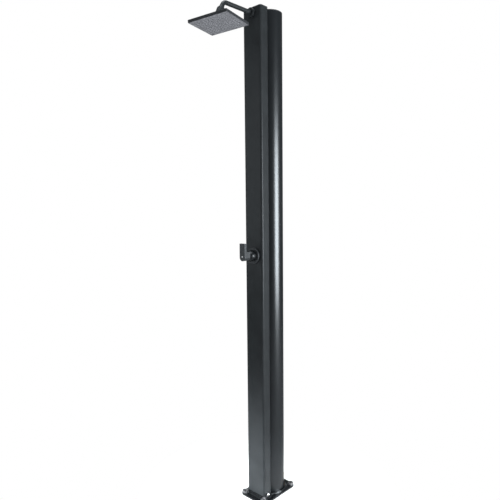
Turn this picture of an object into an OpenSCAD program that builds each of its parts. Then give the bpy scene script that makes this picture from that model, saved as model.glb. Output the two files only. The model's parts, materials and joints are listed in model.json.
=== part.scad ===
// Outdoor solar shower post: a rectangular front column with a single-lever mixer, a round
// water tank behind it, one foot for both, and a square rain head on a short arm.
// +Z is up, the front faces -Y, and the origin is the middle of the foot's underside.

/* [Post] */
// Height from the floor to the top of both columns
post_height = 2214; // [1900:5:2400]
// Width of the front column
front_w = 104; // [100:1:110]
// Depth of the front column
front_d = 50; // [48:1:56]
// Wall of the front column
front_wall = 2.5; // [2:0.5:3]
// Radius of the front column's upright corners
front_corner_r = 9; // [7:0.5:12]
// Outside diameter of the tank
tank_d = 120; // [114:1:125]
// Wall of the tank tube
tank_wall = 3; // [2.5:0.5:4]
// Gap between the two columns where they come closest
column_gap = 1; // [0.8:0.1:2]
// Thickness of the covers on top of both columns
cover_t = 4; // [3:0.5:5]

/* [Foot] */
// Width of the foot
foot_w = 150; // [148:1:170]
// Depth of the foot
foot_d = 230; // [226:1:250]
// Thickness of the foot plate
foot_t = 8; // [7:0.5:10]
// Radius of the foot's corners
foot_corner_r = 20; // [17:0.5:24]
// Spacing of the anchor holes across the post
anchor_dx = 117; // [114:1:122]
// Spacing of the anchor holes from front to back
anchor_dy = 197; // [193:1:203]
// Diameter of the anchor holes
anchor_hole_d = 11; // [9:0.5:13]
// Diameter of the anchor bosses at the plate
boss_d = 30; // [26:1:30]
// Height of the anchor bosses above the plate
boss_h = 10; // [6:1:14]
// Height of the collar around the front column, above the plate
collar_h = 14; // [10:1:18]
// Height of the collar around the tank, above the plate
tank_collar_h = 7.5; // [5:0.5:12]

/* [Mixer] */
// Height of the mixer's axis
valve_z = 1143; // [900:1:1300]
// Diameter of the escutcheon
escutcheon_d = 72; // [64:1:80]
// Thickness of the escutcheon
escutcheon_t = 9; // [8:0.5:10]
// Diameter of the domed sleeve
sleeve_d = 50; // [50:0.5:52]
// Width of the lever
lever_w = 32; // [26:1:36]
// How far the lever stands above the mixer's axis
lever_top = 58; // [45:1:70]
// Distance from the front column to the lever's front
lever_reach = 74; // [70:1:80]
// Thickness of the lever's blade
lever_t = 12; // [8:0.5:14]

/* [Arm] */
// Distance from the top of the post to the arm's axis
arm_drop = 24; // [20:1:30]
// Outside diameter of the arm
arm_d = 18; // [17:0.5:18]
// Straight length of the arm in front of the column
arm_reach = 149; // [120:1:220]
// Radius of the arm's bend, at its axis
arm_bend_r = 24; // [20:1:40]
// Angle that the arm turns down through
arm_bend_angle = 66; // [60:1:75]

/* [Head] */
// Side of the square head
head_w = 180; // [160:1:220]
// Height of the head's rim
head_h = 12; // [12:0.5:16]
// Turn of the head about its own axis
head_spin = 15.7; // [-45:0.1:45]
// Sideways tip of the head
head_roll = -3.9; // [-6:0.1:6]
// Forward tip of the head
head_pitch = 1; // [-4:0.1:4]
// Nozzles in each row
nozzle_rows = 10; // [6:1:12]

/* [Hidden] */
$fn = 72;
// Segments of a curved seat that another piece lies against
fine = 360;

// Colours
anthracite = [0.16, 0.165, 0.175];
black_plastic = [0.06, 0.06, 0.065];
steel = [0.72, 0.73, 0.74];
bright_steel = [0.86, 0.87, 0.88];
brass = [0.74, 0.60, 0.32];
rubber = [0.08, 0.08, 0.08];
ceramic = [0.92, 0.91, 0.88];
pale_grey = [0.60, 0.60, 0.62];
hose_grey = [0.45, 0.46, 0.48];
white_plastic = [0.88, 0.88, 0.86];

// Clearances: a snug fit, a loose fit, and a cut that runs past a face
snug = 0.05;
loose = 0.3;
past = 1;

// Places in plan
front_y = -(front_d + column_gap + tank_d) / 2;
front_mid_y = front_y + front_d / 2;
front_back_y = front_y + front_d;
tank_r = tank_d / 2;
tank_bore_r = tank_r - tank_wall;
tank_y = front_back_y + column_gap + tank_r;
tank_back_y = tank_y + tank_r;
front_inner_w = front_w - 2 * front_wall;
front_inner_d = front_d - 2 * front_wall;
front_inner_r = front_corner_r - front_wall;

// Foot
anchor_x = anchor_dx / 2;
anchor_y = anchor_dy / 2;
boss_top_d = 26;
collar_wall = 5;
tank_collar_wall = 8;
rib_w = 9;
rib_h = 6.5;
socket_join_w = 40;
socket_join_d = 6;
lug_r = 12;
lug_y = front_mid_y - 4;
lug_z = 27;
lug_x = front_w / 2 + collar_wall + 1;
side_bolt_r = 5;
side_bolt_head_r = 10;
side_bolt_head_h = 5.5;
side_bolt_l = 20;
side_bolt_socket_d = 7;
side_bolt_socket_depth = 3;

// Spigot inside the front column
spigot_h = 56;
spigot_wall = 6;
spigot_floor = 6;
spigot_screw_x = 30;
spigot_screw_y = 11;
screw_r = 3;
screw_head_r = 5.8;
screw_head_h = 3;

// Window low in the walls that the hoses pass through
window_w = 64;
window_low_z = 26;
window_h = 40;

// Tank seat
seat_h = 10;
seat_wall = 10;
seat_screws = 3;
seat_screw_turn = 60;

// Tank ends
plug_t = 24;
plug_fit_r = tank_bore_r - 0.1;
bottom_plug_z = 80;
top_plug_drop = 38;
top_plug_z = post_height - cover_t - top_plug_drop;
seal_section_r = 2.2;
seal_groove_h = 5;
snap_t = 2.5;
snap_in_r = tank_bore_r - 2.5;
snap_out_r = tank_bore_r + 1.1;
snap_gap = 8;
cover_lip_h = 10;
cover_lip_wall = 3;

// Ports in the bottom plug
port_r = 8;
port_depth = 12;
feed_port_y = tank_y + 19.5;
feed_bore_r = 5;
warm_x = -24;
warm_y = tank_y - 5.5;
standpipe_r = 6;
standpipe_bore_r = 4.8;
standpipe_top_gap = 20;

// Saddles between the columns
saddle_w = 60;
saddle_d = 10;
saddle_h = 60;
saddle_low_z = 300;
saddle_over_valve = 157;
saddle_top_drop = 154;
saddle_z = [saddle_low_z, valve_z + saddle_over_valve, post_height - saddle_top_drop];
saddle_screw_x = 22;
saddle_screw_r = 2;
saddle_screw_head_r = 3.5;
saddle_screw_head_h = 2.3;
saddle_screw_l = 7;

// Inlet
inlet_z = 42;
inlet_r = 13.22;
inlet_free_l = 14;
inlet_flange_d = 36;
inlet_flange_t = 5.5;
inlet_seal_t = 1.5;
inlet_tail_r = 9;
inlet_tail_l = 15;
inlet_bore_r = 6;
inlet_nut_d = 34;
inlet_nut_t = 7;
inlet_nut_face_y = tank_y + sqrt(pow(tank_bore_r, 2) - pow(inlet_nut_d, 2) / 3) - snug;
inlet_neck_y = inlet_nut_face_y - inlet_nut_t;
check_r = 5.9;
check_l = 16;
tee_r = 13;
tee_branch_r = 11.5;
tee_back_y = inlet_neck_y - 5;
tee_front_y = 27;
tee_top_z = 66;
stub_r = 8;
stub_l = 12;
nipple_hex_d = 22;
nipple_hex_z = 68;
nipple_hex_h = 10;
warm_elbow_r = 11;
warm_z = 50;
warm_elbow_top_z = 66;
warm_elbow_front_y = 6;

// Hoses
hose_r = 6;
hose_sides = 10;
hose_steps = 4;
hose_nut_d = 23;
hose_nut_on_stub = 9;
hose_nut_on_hose = 7;
mixer_port_x = 14;
mixer_port_depth = 22;
mixer_port_l = 38;
mixed_hose_drop = 30;
hose_lead = 60;
hose_y = front_y + mixer_port_depth;
arm_z = post_height - arm_drop;
cold_start = [0, tee_front_y - stub_l, inlet_z];
warm_start = [warm_x, warm_elbow_front_y - stub_l, warm_z];
cold_end = [mixer_port_x, hose_y, valve_z - mixer_port_l];
warm_end = [-mixer_port_x, hose_y, valve_z - mixer_port_l];
mixed_start = [0, hose_y, valve_z + mixer_port_l];
mixed_end = [0, hose_y, arm_z - mixed_hose_drop];
cold_route = [
    cold_start, [0, 6, 42], [1, -8, 42], [4, -22, 43], [8, -36, 48], [11, -48, 58],
    [13, -58, 76], [14, -62, 100], [14, hose_y, 130], [14, hose_y, cold_end[2] / 3],
    [14, hose_y, cold_end[2] * 2 / 3], [14, hose_y, cold_end[2] - hose_lead], cold_end
];
warm_route = [
    warm_start, [-24, -14, 50], [-23, -24, 51], [-21, -36, 55], [-18, -47, 64],
    [-16, -56, 80], [-14, -61, 100], [-14, hose_y, 130], [-14, hose_y, warm_end[2] / 3],
    [-14, hose_y, warm_end[2] * 2 / 3], [-14, hose_y, warm_end[2] - hose_lead], warm_end
];
mixed_route = [
    mixed_start, [0, hose_y, mixed_start[2] + hose_lead],
    [0, hose_y, (mixed_start[2] + mixed_end[2]) / 2], [0, hose_y, mixed_end[2] - hose_lead],
    mixed_end
];

// Mixer, measured outwards from the front column's face
valve_hole_r = 21;
body_r = 24;
body_back = -38;
body_front = -4;
neck_r = 20.5;
neck_front = 12;
chamber_r = 17.7;
chamber_back = -26;
port_bore_r = 5;
gasket_in_r = 20.8;
web_t = 3;
backnut_r = 24.5;
backnut_t = 5.5;
backnut_notches = 4;
backnut_notch_w = 5;
backnut_notch_depth = 2;
recess_r = 25.2;
edge_r = 1.5;
housing_r = 17.5;
housing_back = -24;
housing_floor = -15;
housing_bore_r = 13.08;
cart_port_r = 3;
cart_port_ring_r = 8;
cart_ports = 3;
cart_seal_r = 4.4;
disc_r = 13;
disc_t = 3;
disc_back = housing_floor + disc_t;
slide_travel = 6;
slide_disc_r = 9.8;
slider_half_w = 7.5;
slider_front = 7;
slider_pocket_back = 2;
slider_pocket = 3.8;
cart_nut_in_r = 14.8;
cart_nut_out_r = 22.2;
cart_nut_back = 9.5;
cart_nut_front = 15;
carrier_r = 13;
carrier_back = disc_back + 2 * disc_t;
carrier_leg_front = 9;
pivot = 20;
carrier_front = 24;
slot_half_w = 3.1;
slot_low = 6.5;
slot_high = 9.8;
pin_r = 1.5;
pin_half_l = 9.5;
stem_half_w = 3;
stem_back = 6;
stem_ball_r = 3.4;
stem_front = 54;
sleeve_r = sleeve_d / 2;
sleeve_bore_r = 22.6;
sleeve_back = escutcheon_t + 0.4;
sleeve_web_t = 2;
sleeve_web_r = 22.4;
lift_angle = 25;
neck_part_r = 6;
neck_part_back = 33;
neck_slot_half_w = 6.4;
neck_slot_near = 8;
neck_slot_far = 32;
web_slot_low = -8;
web_slot_high = 4.4;
web_slot_half_w = 4.2;

// Lever
hub_back = 38;
hub_cup_r = sleeve_r + 0.5;
hub_low = 3;
hub_high = 21;
lever_socket_front = 56;
lever_screw_r = 2.5;
lever_screw_at = 50;
lever_screw_l = 10;
lever_cap_r = 3.2;
lever_cap_depth = 1.5;

// Arm
arm_bore_r = 7;
ferrule_r = 9.5;
ferrule_bore_r = 6.6;
ferrule_over = 1.5;
arm_r = arm_d / 2;
arm_hole_r = 12.3;
elbow_r = 12;
elbow_out = 8;
elbow_socket_back = 12.5;
elbow_flange_r = 15.5;
elbow_flange_t = 4;
elbow_down = 18;
arm_nut_d = 33;
arm_nut_t = 6;
flange_r = 20;
flange_t = 12;
flange_wall = 2.5;
arm_seal_t = 1.5;
arm_seal_in_r = 5.5;
bend_y = front_y - arm_reach;
tip_slope = 90 - arm_bend_angle;
bend_end_y = bend_y - arm_bend_r * sin(arm_bend_angle);
bend_end_z = arm_z - arm_bend_r * (1 - cos(arm_bend_angle));
ball_from_bend = 56.7;
ball_y = bend_end_y - ball_from_bend * sin(tip_slope);
ball_z = bend_end_z - ball_from_bend * cos(tip_slope);

// Ball joint, measured from the ball's centre along the arm's tip
ball_r = 12;
stem_neck_r = 5.5;
stem_bore_r = 3;
stem_flange_r = 8.8;
nut_low = 16;
nut_lip_r = 5.56;
stem_flange_low = 19;
stem_flange_top = 20.6;
arm_tip = 22;
nut_big_r = 17;
nut_big_top = 36;
nut_small_r = 13;
nut_top = 44;
nut_cavity_r = 8.86;
nut_grooves = 18;
nut_groove_r = 0.8;

// Head, measured from the ball's centre along the head's axis
head_bottom = -29;
head_top = head_bottom + head_h;
head_wall = 1.6;
head_corner_r = 3;
hub_r = 15;
hub_top = -1;
hub_bore_r = 13.2;
hub_floor = -13.9;
water_r = 6;
seat_fit = 0.06;
seat_top = -1.5;
ring_r = 17;
ring_low = -15;
ring_top = 4.1;
ring_step = -0.9;
ring_grooves = 24;
plate_t = 1.5;
mat_t = 1.5;
head_gasket_t = 1.6;
ledge_t = 1.4;
ledge_w = 7;
gasket_w = 4;
plate_gap = 0.2;
nozzle_pitch = 16;
nozzle_r = 1.6;
nozzle_tip_r = 1.2;
nozzle_out = 1.5;
nozzle_bore_r = 0.5;
head_boss_r = 4;
head_boss_at = head_w / 2 - 7.5;
head_screw_r = 1.5;
head_screw_head_r = 2.8;
head_screw_head_h = 1.4;
head_screw_l = 7;

sides = [-1, 1];

// Shared shapes

module rounded_rect(w, d, r) {
    square([w - 2 * r, d], center = true);
    square([w, d - 2 * r], center = true);
    for (x = sides, y = sides)
        translate([x * (w / 2 - r), y * (d / 2 - r)])
            circle(r);
}

module ring(out_r, in_r, h) {
    difference() {
        cylinder(r = out_r, h = h);
        translate([0, 0, -past])
            cylinder(r = in_r, h = h + 2 * past);
    }
}

module hex_bar(across, h) {
    cylinder(d = across / cos(30), h = h, $fn = 6);
}

// Disc with rounded front edge, from 0 to h
module soft_disc(r, h, edge) {
    rotate_extrude()
        union() {
            square([r - edge, h]);
            square([r, h - edge]);
            translate([r - edge, h - edge])
                circle(edge, $fn = 32);
        }
}

module countersunk(r, head_r, head_h, l) {
    cylinder(r1 = head_r, r2 = r, h = head_h);
    cylinder(r = r, h = l);
}

// Places

module at_front_column() {
    translate([0, front_mid_y, foot_t])
        children();
}

module at_tank(z) {
    translate([0, tank_y, z])
        children();
}

module at_anchors() {
    for (x = sides, y = sides)
        translate([x * anchor_x, y * anchor_y, 0])
            children();
}

// Local +Z points out to the side of the front column
module at_side_bolts() {
    for (s = sides)
        translate([0, lug_y, lug_z])
            rotate([0, s * 90, 0])
                children();
}

// Local +Z points out of the front column, and local +Y is up
module at_mixer() {
    translate([0, front_y, valve_z])
        rotate([90, 0, 0])
            children();
}

module at_spigot_screws() {
    for (x = sides, y = sides)
        translate([x * spigot_screw_x, front_mid_y + y * spigot_screw_y, 0])
            children();
}

module at_seat_screws() {
    for (i = [0 : seat_screws - 1])
        at_tank(0)
            rotate(seat_screw_turn / 2 + i * 360 / seat_screws)
                translate([tank_bore_r - seat_wall / 2, 0, 0])
                    children();
}

// Local +Z points back, into the tank
module at_saddle_screws() {
    for (z = saddle_z, s = sides)
        translate([s * saddle_screw_x, front_back_y - front_wall, z])
            rotate([-90, 0, 0])
                children();
}

// Local +Z points out of the back
module at_inlet(y) {
    translate([0, y, inlet_z])
        rotate([-90, 0, 0])
            children();
}

// Local +Z points from the arm's axis out of the front column
module at_arm(y) {
    translate([0, y, arm_z])
        rotate([90, 0, 0])
            children();
}

// Local +Z points from the ball's centre up along the arm's tip
module at_tip() {
    translate([0, bend_y, arm_z - arm_bend_r])
        rotate([-tip_slope, 0, 0])
            translate([0, -arm_bend_r, -ball_from_bend])
                children();
}

module at_head() {
    translate([0, ball_y, ball_z])
        rotate([0, 0, head_spin])
            rotate([head_pitch, 0, 0])
                rotate([0, head_roll, 0])
                    children();
}

module wall_window() {
    translate([-window_w / 2, front_back_y - spigot_wall - 3 * front_wall, window_low_z])
        cube([window_w, tank_r / 2, window_h]);
}

// Foot

module foot_rib(x, y, from_y) {
    reach = norm([x, y - from_y]);
    translate([0, from_y, foot_t])
        rotate(atan2(y - from_y, x))
            translate([0, -rib_w / 2, 0])
                cube([reach, rib_w, rib_h]);
}

module foot_casting() {
    color(anthracite)
        difference() {
            union() {
                linear_extrude(foot_t)
                    rounded_rect(foot_w, foot_d, foot_corner_r);
                at_anchors()
                    translate([0, 0, foot_t])
                        cylinder(d1 = boss_d, d2 = boss_top_d, h = boss_h);
                for (x = sides) {
                    foot_rib(x * anchor_x, anchor_y, tank_y);
                    foot_rib(x * anchor_x, -anchor_y, front_mid_y);
                }
                at_front_column()
                    linear_extrude(collar_h)
                        rounded_rect(front_w + 2 * collar_wall, front_d + 2 * collar_wall,
                                     front_corner_r + collar_wall);
                at_tank(foot_t)
                    cylinder(r = tank_r + tank_collar_wall, h = tank_collar_h);
                at_side_bolts()
                    cylinder(r = lug_r, h = lug_x);
            }
            at_front_column()
                linear_extrude(post_height)
                    rounded_rect(front_w + 2 * loose, front_d + 2 * loose,
                                 front_corner_r + loose);
            at_tank(foot_t)
                cylinder(r = tank_r + loose, h = post_height);
            translate([-socket_join_w / 2, front_back_y - past / 2, foot_t])
                cube([socket_join_w, socket_join_d, post_height]);
            at_anchors()
                translate([0, 0, -past])
                    cylinder(d = anchor_hole_d, h = foot_t + boss_h + 2 * past);
            at_spigot_screws()
                countersunk(screw_r + snug, screw_head_r + snug, screw_head_h, foot_t + past);
            at_seat_screws()
                countersunk(screw_r + snug, screw_head_r + snug, screw_head_h, foot_t + past);
            at_side_bolts()
                cylinder(r = side_bolt_r + snug, h = lug_x + past);
        }
}

module post_spigot() {
    w = front_inner_w - 2 * loose;
    d = front_inner_d - 2 * loose;
    r = front_inner_r - loose;
    color(steel)
        difference() {
            at_front_column()
                linear_extrude(spigot_h)
                    rounded_rect(w, d, r);
            at_front_column()
                translate([0, 0, spigot_floor])
                    linear_extrude(spigot_h)
                        square([w - 2 * spigot_wall, d - 2 * spigot_wall], center = true);
            wall_window();
            at_side_bolts()
                cylinder(r = side_bolt_r + snug, h = front_w);
            at_spigot_screws()
                cylinder(r = screw_r + snug, h = foot_t + spigot_floor + past);
        }
}

module spigot_screws() {
    color(steel)
        at_spigot_screws()
            countersunk(screw_r, screw_head_r, screw_head_h, foot_t + spigot_floor);
}

module side_bolts() {
    cap_r = (side_bolt_head_r * side_bolt_head_r + side_bolt_head_h * side_bolt_head_h)
            / (2 * side_bolt_head_h);
    color(bright_steel)
        at_side_bolts()
            difference() {
                union() {
                    translate([0, 0, lug_x - side_bolt_l])
                        cylinder(r = side_bolt_r, h = side_bolt_l);
                    translate([0, 0, lug_x])
                        intersection() {
                            translate([0, 0, side_bolt_head_h - cap_r])
                                sphere(cap_r);
                            cylinder(r = side_bolt_head_r, h = side_bolt_head_h);
                        }
                }
                translate([0, 0, lug_x + side_bolt_head_h - side_bolt_socket_depth])
                    hex_bar(side_bolt_socket_d, side_bolt_socket_depth + past);
            }
}

module tank_seat() {
    color(steel)
        difference() {
            at_tank(foot_t)
                ring(tank_bore_r - snug, tank_bore_r - seat_wall, seat_h);
            at_seat_screws()
                cylinder(r = screw_r + snug, h = foot_t + seat_h + past);
        }
}

module seat_screws() {
    color(steel)
        at_seat_screws()
            countersunk(screw_r, screw_head_r, screw_head_h, foot_t + seat_h - past);
}

// Columns

module front_column() {
    length = post_height - cover_t - foot_t;
    color(anthracite)
        difference() {
            at_front_column()
                linear_extrude(length)
                    difference() {
                        rounded_rect(front_w, front_d, front_corner_r);
                        rounded_rect(front_inner_w, front_inner_d, front_inner_r);
                    }
            at_mixer()
                translate([0, 0, -front_wall - past])
                    cylinder(r = valve_hole_r, h = front_wall + 2 * past);
            at_arm(front_y)
                translate([0, 0, -front_wall - past])
                    cylinder(r = arm_hole_r, h = front_wall + 2 * past);
            at_side_bolts()
                cylinder(r = side_bolt_r + snug, h = front_w);
            wall_window();
            at_saddle_screws()
                translate([0, 0, -past])
                    cylinder(r = saddle_screw_r + snug, h = front_wall + 2 * past);
        }
}

module front_cap() {
    lip_w = front_inner_w - 2 * snug;
    lip_d = front_inner_d - 2 * snug;
    lip_r = front_inner_r - snug;
    color(anthracite)
        translate([0, front_mid_y, post_height - cover_t]) {
            linear_extrude(cover_t)
                rounded_rect(front_w, front_d, front_corner_r);
            translate([0, 0, -cover_lip_h])
                linear_extrude(cover_lip_h)
                    difference() {
                        rounded_rect(lip_w, lip_d, lip_r);
                        rounded_rect(lip_w - 2 * cover_lip_wall, lip_d - 2 * cover_lip_wall,
                                     lip_r - cover_lip_wall);
                        translate([-flange_r, -front_d])
                            square([2 * flange_r, front_d]);
                    }
        }
}

module column_saddles() {
    color(black_plastic)
        for (z = saddle_z)
            difference() {
                translate([-saddle_w / 2, front_back_y, z - saddle_h / 2])
                    cube([saddle_w, saddle_d, saddle_h]);
                at_tank(z - saddle_h)
                    cylinder(r = tank_r, h = 2 * saddle_h, $fn = fine);
                for (s = sides)
                    translate([s * saddle_screw_x, front_back_y - past, z])
                        rotate([-90, 0, 0])
                            cylinder(r = saddle_screw_r + snug, h = saddle_d);
            }
}

module saddle_screws() {
    color(steel)
        at_saddle_screws() {
            translate([0, 0, -saddle_screw_head_h])
                cylinder(r = saddle_screw_head_r, h = saddle_screw_head_h);
            cylinder(r = saddle_screw_r, h = saddle_screw_l);
        }
}

// Tank

module tank_tube() {
    color(anthracite)
        difference() {
            at_tank(foot_t)
                ring(tank_r, tank_bore_r, post_height - cover_t - foot_t);
            for (z = [bottom_plug_z - snap_t - snug, top_plug_z + plug_t])
                at_tank(z)
                    cylinder(r = snap_out_r + snug, h = snap_t + snug);
            wall_window();
            at_inlet(tank_y)
                cylinder(r = inlet_r + snug, h = tank_d);
        }
}

module tank_plug_blank() {
    difference() {
        cylinder(r = plug_fit_r, h = plug_t);
        translate([0, 0, (plug_t - seal_groove_h) / 2])
            ring(tank_r, tank_bore_r - 2 * seal_section_r, seal_groove_h);
    }
}

module tank_top_plug() {
    color(white_plastic)
        at_tank(top_plug_z)
            tank_plug_blank();
}

module tank_bottom_plug() {
    color(white_plastic)
        difference() {
            at_tank(bottom_plug_z)
                tank_plug_blank();
            translate([0, feed_port_y, bottom_plug_z - past]) {
                cylinder(r = port_r + snug, h = port_depth + past);
                cylinder(r = feed_bore_r, h = plug_t + 2 * past);
            }
            translate([warm_x, warm_y, bottom_plug_z - past]) {
                cylinder(r = port_r + snug, h = port_depth + past);
                cylinder(r = standpipe_r + snug, h = plug_t + 2 * past);
            }
        }
}

module tank_seals() {
    color(rubber)
        for (z = [bottom_plug_z, top_plug_z])
            at_tank(z + plug_t / 2)
                rotate_extrude()
                    translate([tank_bore_r - seal_section_r, 0])
                        circle(seal_section_r, $fn = 32);
}

module tank_snap_rings() {
    color(steel)
        for (z = [bottom_plug_z - snap_t, top_plug_z + plug_t])
            at_tank(z)
                difference() {
                    ring(snap_out_r, snap_in_r, snap_t);
                    translate([-snap_gap / 2, 0, -past])
                        cube([snap_gap, tank_d, snap_t + 2 * past]);
                }
}

module tank_cover() {
    color(anthracite)
        at_tank(post_height - cover_t) {
            cylinder(r = tank_r, h = cover_t);
            translate([0, 0, -cover_lip_h])
                ring(tank_bore_r - snug, tank_bore_r - cover_lip_wall, cover_lip_h);
        }
}

module standpipe() {
    low = bottom_plug_z + port_depth;
    color(white_plastic)
        translate([warm_x, warm_y, low])
            ring(standpipe_r, standpipe_bore_r, top_plug_z - standpipe_top_gap - low);
}

// Water inlet

module inlet_thread() {
    flange_y = tank_back_y + inlet_seal_t;
    tail_y = inlet_neck_y - inlet_tail_l;
    color(brass)
        difference() {
            union() {
                at_inlet(flange_y)
                    hex_bar(inlet_flange_d, inlet_flange_t);
                at_inlet(inlet_neck_y)
                    cylinder(r = inlet_r,
                             h = flange_y + inlet_flange_t + inlet_free_l - inlet_neck_y);
                at_inlet(tail_y)
                    cylinder(r = inlet_tail_r, h = inlet_tail_l);
            }
            at_inlet(tail_y - past)
                cylinder(r = inlet_bore_r, h = tank_d);
        }
}

module inlet_seal() {
    color(rubber)
        difference() {
            at_inlet(tank_back_y - 2 * inlet_seal_t)
                cylinder(d = inlet_flange_d, h = 3 * inlet_seal_t);
            at_tank(0)
                cylinder(r = tank_r, h = 2 * inlet_z, $fn = fine);
            at_inlet(tank_y)
                cylinder(r = inlet_r + snug, h = tank_d);
        }
}

module inlet_locknut() {
    color(brass)
        at_inlet(inlet_neck_y)
            difference() {
                hex_bar(inlet_nut_d, inlet_nut_t);
                translate([0, 0, -past])
                    cylinder(r = inlet_r + snug, h = inlet_nut_t + 2 * past);
            }
}

module check_valve() {
    color(white_plastic)
        at_inlet(inlet_neck_y) {
            ring(check_r, check_r / 2, check_l);
            translate([0, 0, check_l / 2])
                cylinder(r1 = check_r, r2 = check_r / 2, h = check_l / 4);
        }
}

module inlet_tee() {
    color(brass)
        difference() {
            union() {
                at_inlet(tee_front_y)
                    cylinder(r = tee_r, h = tee_back_y - tee_front_y);
                at_inlet(tee_front_y - stub_l)
                    cylinder(r = stub_r, h = stub_l);
                translate([0, feed_port_y, inlet_z])
                    cylinder(r = tee_branch_r, h = tee_top_z - inlet_z);
            }
            at_inlet(tee_front_y - stub_l - past)
                cylinder(r = feed_bore_r, h = tank_d);
            at_inlet(inlet_neck_y - inlet_tail_l)
                cylinder(r = inlet_tail_r + snug, h = tank_r);
            translate([0, feed_port_y, inlet_z])
                cylinder(r = feed_bore_r, h = tee_top_z);
            translate([0, feed_port_y, tee_top_z - stub_l])
                cylinder(r = port_r + snug, h = tee_top_z);
        }
}

module feed_nipple() {
    low = tee_top_z - stub_l;
    color(brass)
        translate([0, feed_port_y, 0])
            difference() {
                union() {
                    translate([0, 0, low])
                        cylinder(r = port_r, h = bottom_plug_z + port_depth - low);
                    translate([0, 0, nipple_hex_z])
                        hex_bar(nipple_hex_d, nipple_hex_h);
                }
                translate([0, 0, low - past])
                    cylinder(r = feed_bore_r, h = post_height);
            }
}

module warm_elbow() {
    color(brass)
        translate([warm_x, 0, warm_z])
            difference() {
                union() {
                    translate([0, warm_y, 0]) {
                        sphere(warm_elbow_r);
                        cylinder(r = warm_elbow_r, h = warm_elbow_top_z - warm_z);
                        cylinder(r = port_r, h = bottom_plug_z + port_depth - warm_z);
                    }
                    translate([0, warm_y, 0])
                        rotate([90, 0, 0]) {
                            cylinder(r = warm_elbow_r, h = warm_y - warm_elbow_front_y);
                            cylinder(r = stub_r, h = warm_y - warm_elbow_front_y + stub_l);
                        }
                }
                translate([0, warm_y, 0]) {
                    cylinder(r = feed_bore_r, h = bottom_plug_z);
                    rotate([90, 0, 0])
                        cylinder(r = feed_bore_r, h = tank_r);
                }
            }
}

// Hoses: a tube swept along points of a smooth curve through the route

function curve_point(a, b, c, d, t) =
    ((2 * b) + (c - a) * t + (2 * a - 5 * b + 4 * c - d) * t * t
     + (3 * b - a - 3 * c + d) * t * t * t) / 2;

function curve(route) =
    let (last = len(route) - 1)
    concat(
        [for (i = [0 : last - 1], k = [0 : hose_steps - 1])
            curve_point(
                i > 0 ? route[i - 1] : 2 * route[0] - route[1],
                route[i],
                route[i + 1],
                i + 2 <= last ? route[i + 2] : 2 * route[last] - route[last - 1],
                k / hose_steps)],
        [route[last]]
    );

function unit(v) = v / norm(v);

function along(path, i) =
    i == 0 ? unit(path[1] - path[0])
    : i == len(path) - 1 ? unit(path[i] - path[i - 1])
    : unit(path[i + 1] - path[i - 1]);

function hose_ring(centre, direction, r) =
    let (side = unit(cross(direction, [1, 0, 0])), other = cross(side, direction))
    [for (k = [0 : hose_sides - 1])
        centre + r * (cos(k * 360 / hose_sides) * side + sin(k * 360 / hose_sides) * other)];

module hose(route) {
    path = curve(route);
    last = len(path) - 1;
    rings = [for (i = [0 : last]) each hose_ring(path[i], along(path, i), hose_r)];
    walls = [for (i = [0 : last - 1], k = [0 : hose_sides - 1])
        let (n = (k + 1) % hose_sides, a = i * hose_sides, b = a + hose_sides)
        [a + k, a + n, b + n, b + k]];
    start = [for (k = [0 : hose_sides - 1]) hose_sides - 1 - k];
    end = [for (k = [0 : hose_sides - 1]) last * hose_sides + k];
    color(hose_grey)
        polyhedron(points = rings, faces = concat([start, end], walls));
}

module cold_hose() {
    hose(cold_route);
}

module warm_hose() {
    hose(warm_route);
}

module mixed_hose() {
    hose(mixed_route);
}

// Local +Z points from the stub into the hose
module hose_nut() {
    difference() {
        translate([0, 0, -hose_nut_on_stub])
            hex_bar(hose_nut_d, hose_nut_on_stub + hose_nut_on_hose);
        translate([0, 0, -hose_nut_on_stub - past])
            cylinder(r = stub_r + snug, h = hose_nut_on_stub + past);
        cylinder(r = hose_r + snug, h = hose_nut_on_hose + past);
    }
}

module hose_nuts() {
    color(brass) {
        translate(cold_start)
            rotate([90, 0, 0])
                hose_nut();
        translate(warm_start)
            rotate([90, 0, 0])
                hose_nut();
        for (place = [cold_end, warm_end])
            translate(place)
                rotate([180, 0, 0])
                    hose_nut();
        translate(mixed_start)
            hose_nut();
        translate(mixed_end)
            rotate([180, 0, 0])
                hose_nut();
    }
}

// Mixer

module mixer_ports(r, h) {
    for (s = sides)
        translate([s * mixer_port_x, 0, -mixer_port_depth])
            rotate([90, 0, 0])
                cylinder(r = r, h = h);
    translate([0, 0, -mixer_port_depth])
        rotate([-90, 0, 0])
            cylinder(r = r, h = h);
}

module mixer_body() {
    color(brass)
        at_mixer()
            difference() {
                union() {
                    translate([0, 0, body_back])
                        cylinder(r = body_r, h = body_front - body_back);
                    translate([0, 0, body_front])
                        cylinder(r = neck_r, h = neck_front - body_front);
                    mixer_ports(stub_r, mixer_port_l);
                }
                translate([0, 0, chamber_back])
                    cylinder(r = chamber_r, h = neck_front - chamber_back + past);
                mixer_ports(port_bore_r, mixer_port_l + past);
            }
}

module mixer_gasket() {
    color(rubber)
        at_mixer()
            translate([0, 0, body_front])
                ring(body_r, gasket_in_r, -body_front - front_wall);
}

module mixer_backnut() {
    color(brass)
        at_mixer()
            translate([0, 0, web_t])
                difference() {
                    ring(backnut_r, neck_r + snug, backnut_t);
                    for (i = [0 : backnut_notches - 1])
                        rotate(i * 360 / backnut_notches)
                            translate([backnut_r - backnut_notch_depth,
                                       -backnut_notch_w / 2, -past])
                                cube([2 * backnut_notch_depth, backnut_notch_w,
                                      backnut_t + 2 * past]);
                }
}

module escutcheon() {
    color(anthracite)
        at_mixer()
            difference() {
                soft_disc(escutcheon_d / 2, escutcheon_t, edge_r);
                translate([0, 0, -past])
                    cylinder(r = neck_r + loose, h = escutcheon_t);
                translate([0, 0, web_t])
                    cylinder(r = recess_r, h = escutcheon_t);
            }
}

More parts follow.
